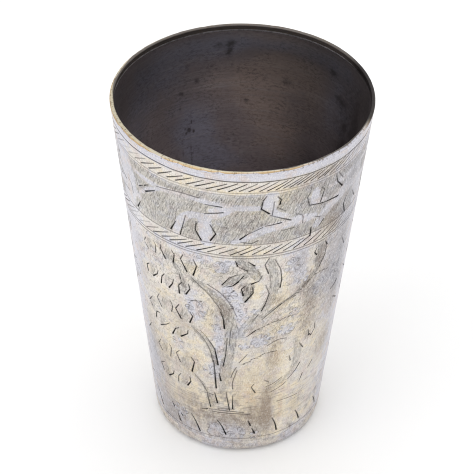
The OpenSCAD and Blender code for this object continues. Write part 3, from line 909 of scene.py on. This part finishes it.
def wall_piece(material, s, inner):
    """The rolled sheet from its two faces, open along the seam."""
    outer = outer_r(s.z) + relief(s) + out_of_round(s.theta, s.z)
    edge = smoothstep(0, 0.8, s.z - WALL_LOW) * 0.1 - 0.1
    outer_points = place(outer + edge, s.theta, s.z)
    z_in, theta_in = inner.z, inner.theta
    inner_points = place(inner_r(z_in) + uneven_inside(theta_in, z_in), theta_in, z_in)
    for points, z in ((outer_points, s.z), (inner_points, z_in)):
        points[:, 0, 0] = -SEAM_W / 2
        points[:, -1, 0] = SEAM_W / 2
    first = ROWS * COLUMNS
    points = np.concatenate([outer_points.reshape(-1, 3), inner_points.reshape(-1, 3)])
    faces = [quads(ROWS, COLUMNS), quads(INSIDE_ROWS, COLUMNS, first, flip=True)]
    c = np.arange(COLUMNS - 1)
    low_in, top_in = first, first + (INSIDE_ROWS - 1) * COLUMNS
    top_out = (ROWS - 1) * COLUMNS
    faces.append(np.stack([c, low_in + c, low_in + c + 1, c + 1], axis=-1))
    faces.append(np.stack([top_out + c, top_out + c + 1, top_in + c + 1, top_in + c], axis=-1))
    for column, flip in ((0, False), (COLUMNS - 1, True)):
        j = np.arange(INSIDE_ROWS - 1)
        outside = [(INSIDE_STEP * j + k) * COLUMNS + column for k in range(INSIDE_STEP + 1)]
        inside = [first + (j + 1) * COLUMNS + column, first + j * COLUMNS + column]
        side = np.stack(outside + inside, axis=-1)
        faces.append(side[:, ::-1] if flip else side)
    attributes = {field: np.concatenate([getattr(s, field).ravel(), getattr(inner, field).ravel()])
                  for field in Surface.FIELDS}
    attributes["inside"] = np.concatenate([np.zeros(first), np.ones(inner.depth.size)])
    attributes["wrap"] = np.concatenate([surface_coordinates(s.theta, s.z),
                                         surface_coordinates(theta_in, z_in)])
    new_mesh("engraved_wall", points, faces, material, "wall", attributes)


def resample(outline, step):
    """An outline of (radius, height) points with extra points so that none are further apart than step."""
    out = [outline[0]]
    for a, b in zip(outline, outline[1:]):
        n = max(1, int(math.ceil(math.dist(a, b) / step)))
        out += [(a[0] + (b[0] - a[0]) * k / n, a[1] + (b[1] - a[1]) * k / n) for k in range(1, n + 1)]
    return out


def arc(cx, cz, r, start, end):
    """Points of an arc in the (radius, height) plane, angles in degrees."""
    angles = [math.radians(start + (end - start) * k / ARC_STEPS) for k in range(ARC_STEPS + 1)]
    return [(cx + r * math.cos(a), cz + r * math.sin(a)) for a in angles]


def revolve(name, outline, columns, shift, material, node, fields=None, level_r=0):
    """A closed outline turned round the axis, as a piece.

    shift(theta, r, z) gives how far each point's radius and height move, and fields holds the same
    kind of function for each attribute. An outline that starts and ends on the axis gets a fan of
    triangles at each pole. Inside level_r the materials' pattern lies flat, so that it has no centre.
    """
    rz = np.array(outline)
    poles = rz[0, 0] < 1e-6
    ring = rz[1:-1] if poles else rz
    n = len(ring)
    theta = np.arange(columns)[:, None] * 360 / columns - 180
    r, z = [np.broadcast_to(values, (columns, n)) for values in ring.T]
    dr, dz = shift(theta, r, z)
    points = place(r + dr, theta, z + dz).reshape(-1, 3)
    a = (np.arange(columns)[:, None] * n + np.arange(n - 1)[None, :]).ravel()
    b = ((np.arange(columns)[:, None] + 1) % columns * n + np.arange(n - 1)[None, :]).ravel()
    faces = [np.stack([a, b, b + 1, a + 1], axis=-1)]
    i = np.arange(columns)
    first, after = i * n, (i + 1) % columns * n
    if poles:
        points = np.concatenate([points, [[0, 0, rz[0, 1]], [0, 0, rz[-1, 1]]]])
        under, over = np.full(columns, columns * n), np.full(columns, columns * n + 1)
        faces += [np.stack([under, after, first], axis=-1),
                  np.stack([over, first + n - 1, after + n - 1], axis=-1)]
    else:
        faces.append(np.stack([first + n - 1, after + n - 1, after, first], axis=-1))
    theta_all = np.broadcast_to(theta, (columns, n))
    flat = place(r, theta_all, 4 * z).reshape(-1, 3)
    attributes = {"wrap": np.where(r.reshape(-1, 1) < level_r, flat, surface_coordinates(theta_all, z + r))}
    for field, value in (fields or {}).items():
        attributes[field] = np.broadcast_to(value(theta, r, z), r.shape).ravel()
    if poles:
        ends = np.array([[0, 0, 4 * rz[0, 1]], [0, 0, 4 * rz[-1, 1]]])
        attributes["wrap"] = np.concatenate([attributes["wrap"], ends])
        for field in fields or {}:
            under_value, over_value = attributes[field][0], attributes[field][n - 1]
            attributes[field] = np.concatenate([attributes[field], [under_value, over_value]])
    new_mesh(name, points, faces, material, node, attributes)


def right_side_shade(theta, _r, _z):
    """A field of painted shade: the mouth's edge is dark on the right from the front. The solder has it
    too.
    """
    return smoothstep(62, 74, theta) * smoothstep(128, 112, theta)


def rim_piece(material):
    """The rounded brass lip, nicked and worn, with its step inside the mouth, and painted shade on its far
    side and its right.
    """
    lip = outer_r(HEIGHT)
    outline = [(inner_r(WALL_TOP), WALL_TOP), (outer_r(WALL_TOP), WALL_TOP)]
    outline += arc(lip - LIP_ROUND, HEIGHT - LIP_ROUND, LIP_ROUND, -6, 90)
    outline += arc(lip - LIP_W + LIP_ROUND, HEIGHT - LIP_ROUND, LIP_ROUND, 90, 180)
    outline += [(lip - LIP_W, STEP_Z), (inner_r(STEP_Z), STEP_Z)]
    outline = resample(outline, 0.35)

    def wear(theta, r, z):
        top = smoothstep(WALL_TOP, HEIGHT, z)
        low = np.minimum(0, value_noise(theta, z, 2.2, 60, 21) + 0.45) * 0.22
        soft = 0.06 * value_noise(theta, z, 11, 60, 22)
        thicker = 0.5 * hump(theta, -50, 34) * smoothstep(-0.2, -1.4, across(r, z))
        nicked = 0.05 * top * value_noise(theta, z, 3, 2, 23)
        outward = out_of_round(theta, z) - thicker * smoothstep(STEP_Z, STEP_Z + 0.6, z) + nicked
        return outward, top * (low + soft)

    def across(r, z):
        """Millimetres outwards from the lip's outer edge, level, across the leaning lip."""
        return r - TAPER * (z - HEIGHT) - lip

    def tin(theta, r, z):
        worn = 0.35 * value_noise(theta, z, 3, 60, 24)
        side = smoothstep(-0.9, -0.5, across(r, z)) * smoothstep(HEIGHT - 0.3, HEIGHT - 0.9, z + worn)
        return np.maximum(side, 0.75 * hump(theta, 48, 28))

    def corner(theta, r, z):
        worn = 0.2 * value_noise(theta, z, 5, 60, 26)
        return smoothstep(-0.5, -0.2, across(r, z) + worn)

    def within(theta, r, z):
        # The dark band inside the lip is dull brass, widened on the far side and on the right as painted
        # shade and narrowed at the left front towards the light; the shaded part paints shade on the far
        # side's lip
        dull = 0.4 + 0.55 * smoothstep(80, 110, np.abs(theta)) + 0.25 * value_noise(theta, z, 7, 60, 25)
        dull = dull + 0.5 * hump(theta, 115, 25) + 0.75 * hump(theta, 40, 34)
        dull = dull - 0.6 * hump(theta, -48, 30)
        shaded = 0.75 * hump(theta, 150, 26) * smoothstep(-0.15, -0.6, across(r, z))
        return np.maximum(shaded, smoothstep(dull + 0.25, dull - 0.25, across(r, z) + LIP_W))

    fields = {"tin": tin, "within": within, "corner": corner, "right_shade": right_side_shade}
    revolve("mouth_ring", outline, RIM_COLUMNS, wear, material, "rim_ring", fields)


def pan_piece(material):
    """The base pan: raised floor, standing ring, rounded corner, and a flange inside the wall."""
    lean = math.degrees(math.atan(TAPER))
    corner_x = outer_r(0) + TAPER * CORNER_R - CORNER_R / math.cos(math.radians(lean))
    ring_x = corner_x - STANDING_W
    outline = [(0, FLOOR_RISE), (ring_x - SLOPE_RUN, FLOOR_RISE), (ring_x, 0)]
    outline += arc(corner_x, CORNER_R, CORNER_R, -90, -lean)
    outline += [(outer_r(WALL_LOW - JOINT_GROOVE), WALL_LOW - JOINT_GROOVE)]
    outline += [(outer_r(WALL_LOW) - JOINT_GROOVE, WALL_LOW)]
    outline += [(inner_r(WALL_LOW), WALL_LOW), (inner_r(FLANGE_TOP), FLANGE_TOP)]
    outline += [(inner_r(FLANGE_TOP) - FLANGE, FLANGE_TOP), (inner_r(WALL_LOW) - FLANGE, WALL_LOW)]
    outline += [(inner_r(WALL_LOW - JOGGLE), WALL_LOW - JOGGLE)]
    outline += arc(corner_x, CORNER_R, CORNER_R - SHEET, -lean, -90)
    outline += [(ring_x + FLOOR_SHIFT, SHEET), (ring_x - SLOPE_RUN, FLOOR_RISE + SHEET)]
    outline += [(0, FLOOR_RISE + SHEET)]
    outline = resample(outline, 0.6)

    def wear(theta, r, z):
        skin = smoothstep(0.3, 1.5, z) * smoothstep(36, 38.5, r) * smoothstep(WALL_LOW, WALL_LOW - 0.8, z)
        rough = 0.10 * value_noise(theta, z, 5, 2, 31) + 0.05 * value_noise(theta, z, 2, 1, 32)
        marks = 0.03 * np.sin(r * 2.1) * smoothstep(30, 24, r)
        return rough * skin - 0.05 * skin, marks + 0.06 * cloud(theta, r, 9, 35) * smoothstep(30, 24, r)

    def cloud(theta, r, cell, seed):
        x, y, _ = np.moveaxis(place(r, theta, 0), -1, 0)
        return value_noise(x, y + 60, cell, cell, seed)

    def inside(theta, r, z):
        under = FLOOR_RISE * np.clip((ring_x - r) / SLOPE_RUN, 0, 1)
        within_wall = smoothstep(0.2, -0.2, r - (inner_r(z) + 0.1))
        return within_wall * smoothstep(SHEET * 0.5, SHEET * 0.9, z - under)

    # Outside, duller inside the standing ring; inside, the brightness that the inside's colour is
    # multiplied by, as painted light
    def dull(theta, r, z):
        return 0.15 + 0.35 * smoothstep(ring_x + 1, ring_x - 2, r) + 1.2 * inside(theta, r, z)

    fields = {
        "inside": inside,
        "stain_and_light": lambda theta, r, z: 0.4 + 0.2 * cloud(theta, r, 7, 33),
        "cool": lambda theta, r, z: 0.4 + 0.3 * cloud(theta, r, 13, 34),
        "warm": lambda theta, r, z: 0.3 + 0.3 * cloud(theta, r, 12, 36),
        "dull": dull,
    }
    revolve("base_pan_shell", outline, PAN_COLUMNS, wear, material, "base_pan", fields,
            corner_x - 0.2)


def solder_piece(name, outline, lumps, seed, material, node):
    """A run of solder inside the vessel, with small lumps along it, and painted shade on the right."""
    def shift(theta, r, z):
        return out_of_round(theta, z) - lumps * (0.5 + 0.5 * value_noise(theta, z, 4, 60, seed)), 0 * z
    fields = {"right_shade": right_side_shade}
    revolve(name, outline, PAN_COLUMNS, shift, material, node, fields)


def seam_piece(material, face):
    """The brazed strip that closes the sheet, nearly flush on both sides. face is the wall's inner one."""
    across = np.linspace(-SEAM_W / 2, SEAM_W / 2, SEAM_COLUMNS)
    heights = np.linspace(WALL_LOW, WALL_TOP, SEAM_ROWS)
    x, z = across[None, :], heights[:, None]
    rough = value_noise(x * 30, z, 30, 1.6, 41)
    crown = 1 - (across / (SEAM_W / 2)) ** 2
    free = smoothstep(FILLET_TOP, FILLET_TOP + 1, heights) * smoothstep(SOLDER_LOW, SOLDER_LOW - 1, heights)
    out_y = np.sqrt(outer_r(z) ** 2 - x ** 2) + out_of_round(180, z)
    in_y = np.sqrt(inner_r(z) ** 2 - x ** 2) + uneven_inside(180, z)
    out_y = out_y + (0.05 * crown + 0.04 * rough * crown)
    in_y = in_y - SEAM_BEAD * free[:, None] * crown * (0.8 + 0.3 * rough)
    x, z = np.broadcast_arrays(x, z)
    outer = np.stack([x, out_y, z], axis=-1)
    inner = np.stack([x, in_y, z], axis=-1)
    loop = np.concatenate([outer, inner[:, ::-1]], axis=1)
    rows, n = loop.shape[:2]
    k = np.arange(n)
    a = (np.arange(rows - 1)[:, None] * n + k[None, :]).ravel()
    b = (np.arange(rows - 1)[:, None] * n + (k[None, :] + 1) % n).ravel()
    faces = [np.stack([a, a + n, b + n, b], axis=-1)]
    faces += [np.arange(n)[None, :], ((rows - 1) * n + np.arange(n))[::-1][None, :]]
    wrap = surface_coordinates(np.degrees(np.arctan2(loop[..., 0], -loop[..., 1])) % 360, loop[..., 2])
    inside = np.broadcast_to(np.repeat([0.0, 1.0], SEAM_COLUMNS)[None, :], (rows, n)).ravel()
    attributes = {"wrap": wrap, "inside": inside}
    # The inside's colour fields are copied from the wall, painted light and shade among them
    for field in AGE_AND_LIGHT_FIELDS:
        edges = getattr(face, field)[:, [0, -1]].mean(axis=1)
        attributes[field] = np.repeat(np.interp(heights, face.z[:, 0], edges), n)
    new_mesh("seam_strip", loop.reshape(-1, 3), faces, material, "wall_seam", attributes)


# ---------------------------------------------------------------- materials

class Nodes:
    """A short way to write a node tree."""

    def __init__(self, name):
        self.material = bpy.data.materials.new(name)
        self.material.use_nodes = True
        self.tree = self.material.node_tree
        self.shader = self.tree.nodes["Principled BSDF"]

    def add(self, kind, inputs=None, **settings):
        node = self.tree.nodes.new(kind)
        for key, value in settings.items():
            setattr(node, key, value)
        for key, value in (inputs or {}).items():
            self.put(value, node.inputs[key])
        return node

    def put(self, value, socket):
        if isinstance(value, bpy.types.NodeSocket):
            self.tree.links.new(value, socket)
        else:
            socket.default_value = value

    def attribute(self, name, vector=False):
        node = self.add("ShaderNodeAttribute", attribute_name=name)
        return node.outputs["Vector" if vector else "Fac"]

    def math(self, operation, a, b=0.0, clamp=False):
        return self.add("ShaderNodeMath", {0: a, 1: b}, operation=operation, use_clamp=clamp).outputs[0]

    def mix(self, share, a, b, blend="MIX"):
        node = self.add("ShaderNodeMix", {"Factor": share}, data_type="RGBA", blend_type=blend)
        self.put(a, node.inputs[6])
        self.put(b, node.inputs[7])
        return node.outputs[2]

    def tint(self, colour, mask, share, other):
        """Mixes another colour in where the mask is, up to a share."""
        return self.mix(self.math("MULTIPLY", mask, share), colour, other)

    def swing(self, value, middle, gain):
        """How far a value is from a middle, times a gain."""
        return self.math("MULTIPLY", self.math("SUBTRACT", value, middle), gain)

    def blend(self, share, a, b):
        """A number between a and b."""
        node = self.add("ShaderNodeMix", {"Factor": share}, data_type="FLOAT")
        self.put(a, node.inputs[2])
        self.put(b, node.inputs[3])
        return node.outputs[0]

    def noise(self, vector, scale, detail=3.0, roughness=0.55, stretch=None, turn=0.0):
        """Noise in millimetres: scale is features per millimetre."""
        if stretch:
            mapping = self.add("ShaderNodeMapping", {"Vector": vector})
            mapping.inputs["Rotation"].default_value = (0, 0, math.radians(turn))
            mapping.inputs["Scale"].default_value = stretch
            vector = mapping.outputs[0]
        node = self.add("ShaderNodeTexNoise", {"Vector": vector, "Scale": scale, "Detail": detail,
                                               "Roughness": roughness})
        return node.outputs["Fac"]

    def ramp(self, value, low, high):
        """0 below low, 1 above high."""
        node = self.add("ShaderNodeMapRange", {"Value": value, "From Min": low, "From Max": high})
        node.interpolation_type = "SMOOTHSTEP"
        return node.outputs[0]

    def finish(self, metallic, colour, roughness, height, bump_mm, strength):
        """Sets the shader, with a fine bump from height, and gives the material."""
        bump = self.add("ShaderNodeBump", {"Height": height, "Strength": strength,
                                           "Distance": bump_mm * MM})
        for value, name in ((metallic, "Metallic"), (colour, "Base Color"), (roughness, "Roughness"),
                            (bump.outputs[0], "Normal")):
            self.put(value, self.shader.inputs[name])
        return self.material


METALLIC = 0.9
METALLIC_INSIDE = 0.45

LILAC = (0.635, 0.63, 0.69, 1)
NEUTRAL = (0.72, 0.675, 0.615, 1)
CHAMPAGNE = (0.80, 0.71, 0.55, 1)
AMBER = (0.70, 0.56, 0.39, 1)
ROSE = (0.66, 0.57, 0.53, 1)
GREY = (0.40, 0.39, 0.365, 1)
BROWN = (0.22, 0.18, 0.155, 1)
# Dull tin, and painted shade: these colours also darken the right side and the band beside the reflection
# strip
DULL_AND_SHADE_BROWN = (0.37, 0.30, 0.235, 1)
DULL_AND_SHADE_GREY = (0.33, 0.32, 0.345, 1)
# Painted shade: the near-black of the mouth's right side and its solder
RIGHT_SHADE_BLACK = (0.035, 0.03, 0.03, 1)
SPECK = (0.17, 0.15, 0.14, 1)
LIP_DULL = (0.60, 0.54, 0.40, 1)
LIP_PALE = (0.63, 0.585, 0.49, 1)
LIP_CORNER = (0.58, 0.43, 0.255, 1)
# Dull brass inside the lip, laid wider as painted shade on the far side and the right
LIP_WITHIN = (0.15, 0.135, 0.125, 1)
LIP_SPECK = (0.16, 0.12, 0.085, 1)
BRAZE_DARK = (0.56, 0.47, 0.32, 1)
BRAZE_PALE = (0.62, 0.56, 0.45, 1)
# Pale brass for rubbed places, painted highlights and the fine light specks
SHINE = (0.97, 0.95, 0.92, 1)
INK = (0.018, 0.016, 0.015, 1)
INSIDE = (0.190, 0.158, 0.162, 1)
INSIDE_BLUE = (0.215, 0.208, 0.255, 1)
INSIDE_BROWN = (0.290, 0.225, 0.200, 1)
INSIDE_BLACK = (0.050, 0.042, 0.044, 1)
INSIDE_PALE = (0.30, 0.275, 0.28, 1)


def inside_colour(n, wrap, cool, warm, stain_and_light, light):
    """The oxidised inside: dark grey-brown with bluish and brown clouds, faint rings and black spots. The
    colour is multiplied by the painted light and shade it is given.
    """
    cloud = n.noise(wrap, 0.12, 5, 0.65)
    ragged = n.math("SUBTRACT", cloud, 0.5)
    colour = n.mix(n.ramp(n.math("ADD", warm, ragged), 0.1, 0.9), INSIDE, INSIDE_BROWN)
    colour = n.mix(n.ramp(n.math("ADD", cool, ragged), 0.15, 0.9), colour, INSIDE_BLUE)
    rings = n.noise(wrap, 0.8, 4, 0.65, stretch=(0.04, 1, 1), turn=1)
    colour = n.tint(colour, n.ramp(rings, 0.48, 0.7), 0.38, INSIDE_PALE)
    spots = n.noise(wrap, 0.5, 5, 0.7)
    patchy = n.math("ADD", n.math("MULTIPLY", stain_and_light, 0.9), n.math("SUBTRACT", spots, 0.5))
    colour = n.tint(colour, n.ramp(patchy, 0.12, 0.7), 0.85, INSIDE_BLACK)
    grain = n.noise(wrap, 0.9, 5, 0.75, stretch=(0.6, 1, 1), turn=-8)
    worn = n.blend(n.ramp(cloud, 0.38, 0.62), 0.22, 0.6)
    colour = n.tint(colour, n.ramp(grain, 0.42, 0.66), worn, INSIDE_BLACK)
    streak = n.noise(wrap, 1.2, 4, 0.7, stretch=(0.05, 1.2, 1), turn=1)
    colour = n.tint(colour, n.ramp(streak, 0.5, 0.7), 0.16, INSIDE_BLACK)
    return n.mix(1.0, colour, light, "MULTIPLY")


def outside_colour(n, wrap, cool, warm, stain_and_light, matte, dull, rubbed):
    """Worn tin over brass: silvery lilac, champagne and amber clouds under a fine dark and light grain.
    Some of the patches it is given are painted reflections, highlights and shade.
    """
    cloud = n.noise(wrap, 0.07, 5, 0.65)
    patch = n.noise(wrap, 0.24, 4, 0.55)
    tone = n.math("ADD", n.math("SUBTRACT", warm, cool), n.swing(cloud, 0.52, 1.6))
    tone = n.math("ADD", tone, n.swing(patch, 0.5, 1.7))
    colour = n.mix(n.ramp(tone, -0.4, 0.05), LILAC, NEUTRAL)
    colour = n.mix(n.ramp(tone, 0.15, 0.55), colour, CHAMPAGNE)
    colour = n.mix(n.ramp(tone, 0.7, 1.3), colour, AMBER)
    rosy = n.noise(wrap, 0.2, 4, 0.6, stretch=(1, 0.7, 1))
    colour = n.tint(colour, n.ramp(rosy, 0.48, 0.64), 0.7, ROSE)
    ground = n.noise(wrap, 0.8, 3, 0.6, stretch=(1.4, 0.35, 1), turn=-24)
    colour = n.tint(colour, matte, n.blend(n.ramp(ground, 0.35, 0.65), 0.35, 0.9), GREY)
    smear = n.noise(wrap, 0.5, 4, 0.65, stretch=(1.2, 0.5, 1), turn=-12)
    # Stains turn brown, and so does the painted dark side of the reflection strip; negative entries paint
    # highlights by taking brown away
    dirt_and_reflection = n.math("ADD", stain_and_light, n.math("MULTIPLY", n.math("SUBTRACT", 0.5, patch), 2.4))
    dirt_and_reflection = n.math("ADD", dirt_and_reflection, n.swing(smear, 0.5, 1.8))
    dirt_and_reflection = n.math("SUBTRACT", dirt_and_reflection, n.math("MULTIPLY", cool, 0.3))
    colour = n.tint(colour, n.ramp(dirt_and_reflection, 0.0, 1.2), 0.85, BROWN)
    # Dull tin, and painted shade on the right side and beside the reflection strip
    dulled = n.mix(cool, DULL_AND_SHADE_BROWN, DULL_AND_SHADE_GREY)
    colour = n.tint(colour, dull, n.blend(n.ramp(smear, 0.35, 0.65), 0.7, 1.25), dulled)
    # Rubbed places and painted highlights turn pale
    return n.tint(colour, rubbed, n.blend(n.ramp(smear, 0.35, 0.65), 0.7, 0.4), SHINE)


def grained(n, wrap, colour, cool, brushed):
    """Adds the fine dark specks, light specks and level scratches of a handled surface.

    Gives the colour and the pattern of the dark specks.
    """
    dark = n.noise(wrap, 1.3, 4, 0.75, stretch=(1.6, 0.45, 1), turn=-18)
    for turn in (65, 92):
        dark = n.math("MAXIMUM", dark, n.noise(wrap, 1.3, 4, 0.75, stretch=(1.6, 0.45, 1), turn=turn))
    light = n.noise(wrap, 1.3, 4, 0.75, stretch=(1.5, 0.5, 1), turn=-35)
    streak = n.noise(wrap, 1.3, 3, 0.65, stretch=(0.08, 1.5, 1), turn=2)
    dark = n.blend(n.math("MULTIPLY", brushed, 0.8), dark, streak)
    clean = n.math("SUBTRACT", 1.0, n.math("MULTIPLY", cool, 0.45))
    specks = n.math("MULTIPLY", n.ramp(dark, 0.54, 0.74), n.math("MULTIPLY", clean, 0.55))
    colour = n.mix(specks, colour, SPECK)
    shine = n.math("MULTIPLY", n.ramp(light, 0.48, 0.66), n.blend(brushed, 0.5, 0.25))
    colour = n.mix(shine, colour, SHINE)
    return n.tint(colour, n.ramp(streak, 0.5, 0.72), n.blend(brushed, 0.3, 0.6), BROWN), dark


def tinned_material():
    """The wall and the pan: worn tin over brass, dark cuts, and an oxidised inside, with painted
    reflections, highlights and shade.
    """
    n = Nodes("tinned_brass_engraved")
    wrap = n.attribute("wrap", vector=True)
    ink, matte, inside = n.attribute("ink"), n.attribute("matte"), n.attribute("inside")
    cool, warm, stain_and_light, dull = [n.attribute(name) for name in AGE_AND_LIGHT_FIELDS]
    colour = outside_colour(n, wrap, cool, warm, stain_and_light, matte, dull, n.attribute("rubbed"))
    colour, grain = grained(n, wrap, colour, cool, n.attribute("brushed"))
    broken = n.math("MULTIPLY", ink, n.blend(n.ramp(grain, 0.5, 0.9), 1.15, 0.95), clamp=True)
    colour = n.mix(broken, colour, INK)
    colour = n.mix(inside, colour, inside_colour(n, wrap, cool, warm, stain_and_light, dull))
    rough = n.blend(n.ramp(grain, 0.4, 0.8), 0.38, 0.52)
    rough = n.blend(matte, rough, 0.58)
    rough = n.blend(ink, rough, 0.75)
    rough = n.blend(inside, rough, 0.5)
    return n.finish(n.blend(inside, METALLIC, METALLIC_INSIDE), colour, rough, grain, 0.05, 0.7)


def brass_material():
    """The lip: brass rubbed bare on top, tinned outside and dull within, with dark specks. The dull band
    within is widened as painted shade, and the mouth's right side is painted nearly black as shade.
    """
    n = Nodes("bare_brass_lip")
    wrap = n.attribute("wrap", vector=True)
    tin, within, corner = n.attribute("tin"), n.attribute("within"), n.attribute("corner")
    patch = n.noise(wrap, 0.06, 4)
    fine = n.noise(wrap, 0.9, 5, 0.75)
    colour = n.mix(n.ramp(patch, 0.42, 0.66), LIP_DULL, LIP_PALE)
    colour = n.mix(corner, colour, LIP_CORNER)
    colour = n.mix(n.ramp(tin, 0.3, 0.7), colour, LILAC)
    colour = n.mix(within, colour, LIP_WITHIN)
    colour = n.tint(colour, n.ramp(fine, 0.5, 0.64), 0.8, LIP_SPECK)
    # Painted shade: the mouth's right side goes nearly black
    colour = n.tint(colour, n.attribute("right_shade"), 0.97, RIGHT_SHADE_BLACK)
    return n.finish(METALLIC, colour, n.blend(fine, 0.3, 0.55), fine, 0.06, 0.6)


def braze_material():
    """The seam: filed brass outside, as dark as the wall inside."""
    n = Nodes("filed_braze")
    wrap = n.attribute("wrap", vector=True)
    inside = n.attribute("inside")
    mottle = n.noise(wrap, 0.6, 5, 0.65)
    colour = n.mix(n.ramp(mottle, 0.35, 0.65), BRAZE_DARK, BRAZE_PALE)
    colour = n.mix(inside, colour, inside_colour(n, wrap, *[n.attribute(name) for name in AGE_AND_LIGHT_FIELDS]))
    metallic = n.blend(inside, METALLIC, METALLIC_INSIDE)
    return n.finish(metallic, colour, n.blend(mottle, 0.4, 0.6), mottle, 0.06, 0.6)


# Solder: darker and paler colour, pits, least roughness
DULL_SOLDER = ((0.22, 0.20, 0.20, 1), (0.34, 0.32, 0.31, 1), (0.06, 0.05, 0.05, 1), 0.45)
BRIGHT_SOLDER = ((0.36, 0.35, 0.36, 1), (0.62, 0.61, 0.63, 1), (0.15, 0.13, 0.13, 1), 0.35)


def plain_material(name, low, high, dark, rough):
    """A dull metal with a mottled colour, nearly black on the right as painted shade."""
    n = Nodes(name)
    wrap = n.attribute("wrap", vector=True)
    mottle = n.noise(wrap, 0.5, 5, 0.65)
    colour = n.mix(n.ramp(mottle, 0.35, 0.65), low, high)
    pits = n.noise(wrap, 1.4, 4, 0.7)
    colour = n.mix(n.ramp(pits, 0.6, 0.72), colour, dark)
    # Painted shade: nearly black on the right, seen from the front
    colour = n.tint(colour, n.attribute("right_shade"), 0.95, RIGHT_SHADE_BLACK)
    return n.finish(METALLIC, colour, n.blend(pits, rough, rough + 0.2), pits, 0.08, 0.7)


# ---------------------------------------------------------------- the beaker

tinned = tinned_material()
outside, inside = engrave(), oxidised_and_shaded_inside()
wall_piece(tinned, outside, inside)
pan_piece(tinned)
rim_piece(brass_material())
solder = plain_material("dull_solder", *DULL_SOLDER)
fillet = [(inner_r(FLANGE_TOP) - FLANGE, FLANGE_TOP), (inner_r(FLANGE_TOP), FLANGE_TOP),
          (inner_r(FILLET_TOP), FILLET_TOP)]
solder_piece("foot_solder", fillet, 0.12, 51, solder, "base_solder")
run = [(inner_r(SOLDER_LOW), SOLDER_LOW), (inner_r(STEP_Z), STEP_Z), (outer_r(HEIGHT) - LIP_W, STEP_Z)]
bright = plain_material("bright_solder", *BRIGHT_SOLDER)
solder_piece("mouth_solder", run, 0.08, 52, bright, "rim_solder")
seam_piece(braze_material(), inside)


# ---------------------------------------------------------------- the studio

# The photo's viewpoint, fitted to the mouth and the sides: degrees and millimetres
VIEW_ELEVATION = 38.5
VIEW_ROLL = 0.8
VIEW_DISTANCE = 827.9
VIEW_AIM = (-1.3, 0, 99.0)
LENS_MM = 137.2
# Half the floor's width in metres, how pale it is, and the light tent's strength
FLOOR_HALF = 3.0
FLOOR_PALE = 0.97
TENT_STRENGTH = 0.92


def studio():
    """A pale floor, a soft light tent and the camera."""
    scene = bpy.context.scene
    scene.view_settings.view_transform = "Standard"
    scene.cycles.filter_width = 1.0  # a narrow pixel filter, for crisp engraving
    mesh = bpy.data.meshes.new("floor")
    corners = ((-1, -1), (1, -1), (1, 1), (-1, 1))
    mesh.from_pydata([(x * FLOOR_HALF, y * FLOOR_HALF, 0) for x, y in corners], [], [(0, 1, 2, 3)])
    floor = bpy.data.objects.new("floor", mesh)
    scene.collection.objects.link(floor)
    pale = bpy.data.materials.new("floor_pale")
    pale.use_nodes = True
    shader = pale.node_tree.nodes["Principled BSDF"]
    shader.inputs["Base Color"].default_value = (FLOOR_PALE, FLOOR_PALE, FLOOR_PALE, 1)
    shader.inputs["Roughness"].default_value = 0.9
    mesh.materials.append(pale)

    world = bpy.data.worlds.new("light_tent")
    scene.world = world
    world.use_nodes = True
    background = world.node_tree.nodes["Background"]
    background.inputs["Color"].default_value = (1, 1, 1, 1)
    background.inputs["Strength"].default_value = TENT_STRENGTH

    def softbox(name, place_at, aim, width, height, power):
        light = bpy.data.lights.new(name, "AREA")
        light.shape = "RECTANGLE"
        light.size, light.size_y, light.energy = width, height, power
        lamp = bpy.data.objects.new(name, light)
        lamp.location = place_at
        lamp.rotation_mode = "QUATERNION"
        lamp.rotation_quaternion = (Vector(aim) - Vector(place_at)).to_track_quat("-Z", "Y")
        scene.collection.objects.link(lamp)

    softbox("key", (-0.9, -0.8, 1.1), (0, 0, 0.09), 1.2, 1.2, 4)
    softbox("top", (0.1, 0.2, 1.6), (0, 0, 0.05), 1.6, 1.6, 5)

    data = bpy.data.cameras.new("camera")
    data.lens = LENS_MM
    data.sensor_width = 36
    data.clip_start, data.clip_end = 0.01, 20
    camera = bpy.data.objects.new("camera", data)
    back = Vector((0, -math.cos(math.radians(VIEW_ELEVATION)), math.sin(math.radians(VIEW_ELEVATION))))
    turn = Matrix.Rotation(math.radians(90 - VIEW_ELEVATION), 4, "X")
    turn = turn @ Matrix.Rotation(math.radians(VIEW_ROLL), 4, "Z")
    camera.matrix_world = Matrix.Translation((Vector(VIEW_AIM) + back * VIEW_DISTANCE) * MM) @ turn
    scene.collection.objects.link(camera)
    scene.camera = camera


studio()
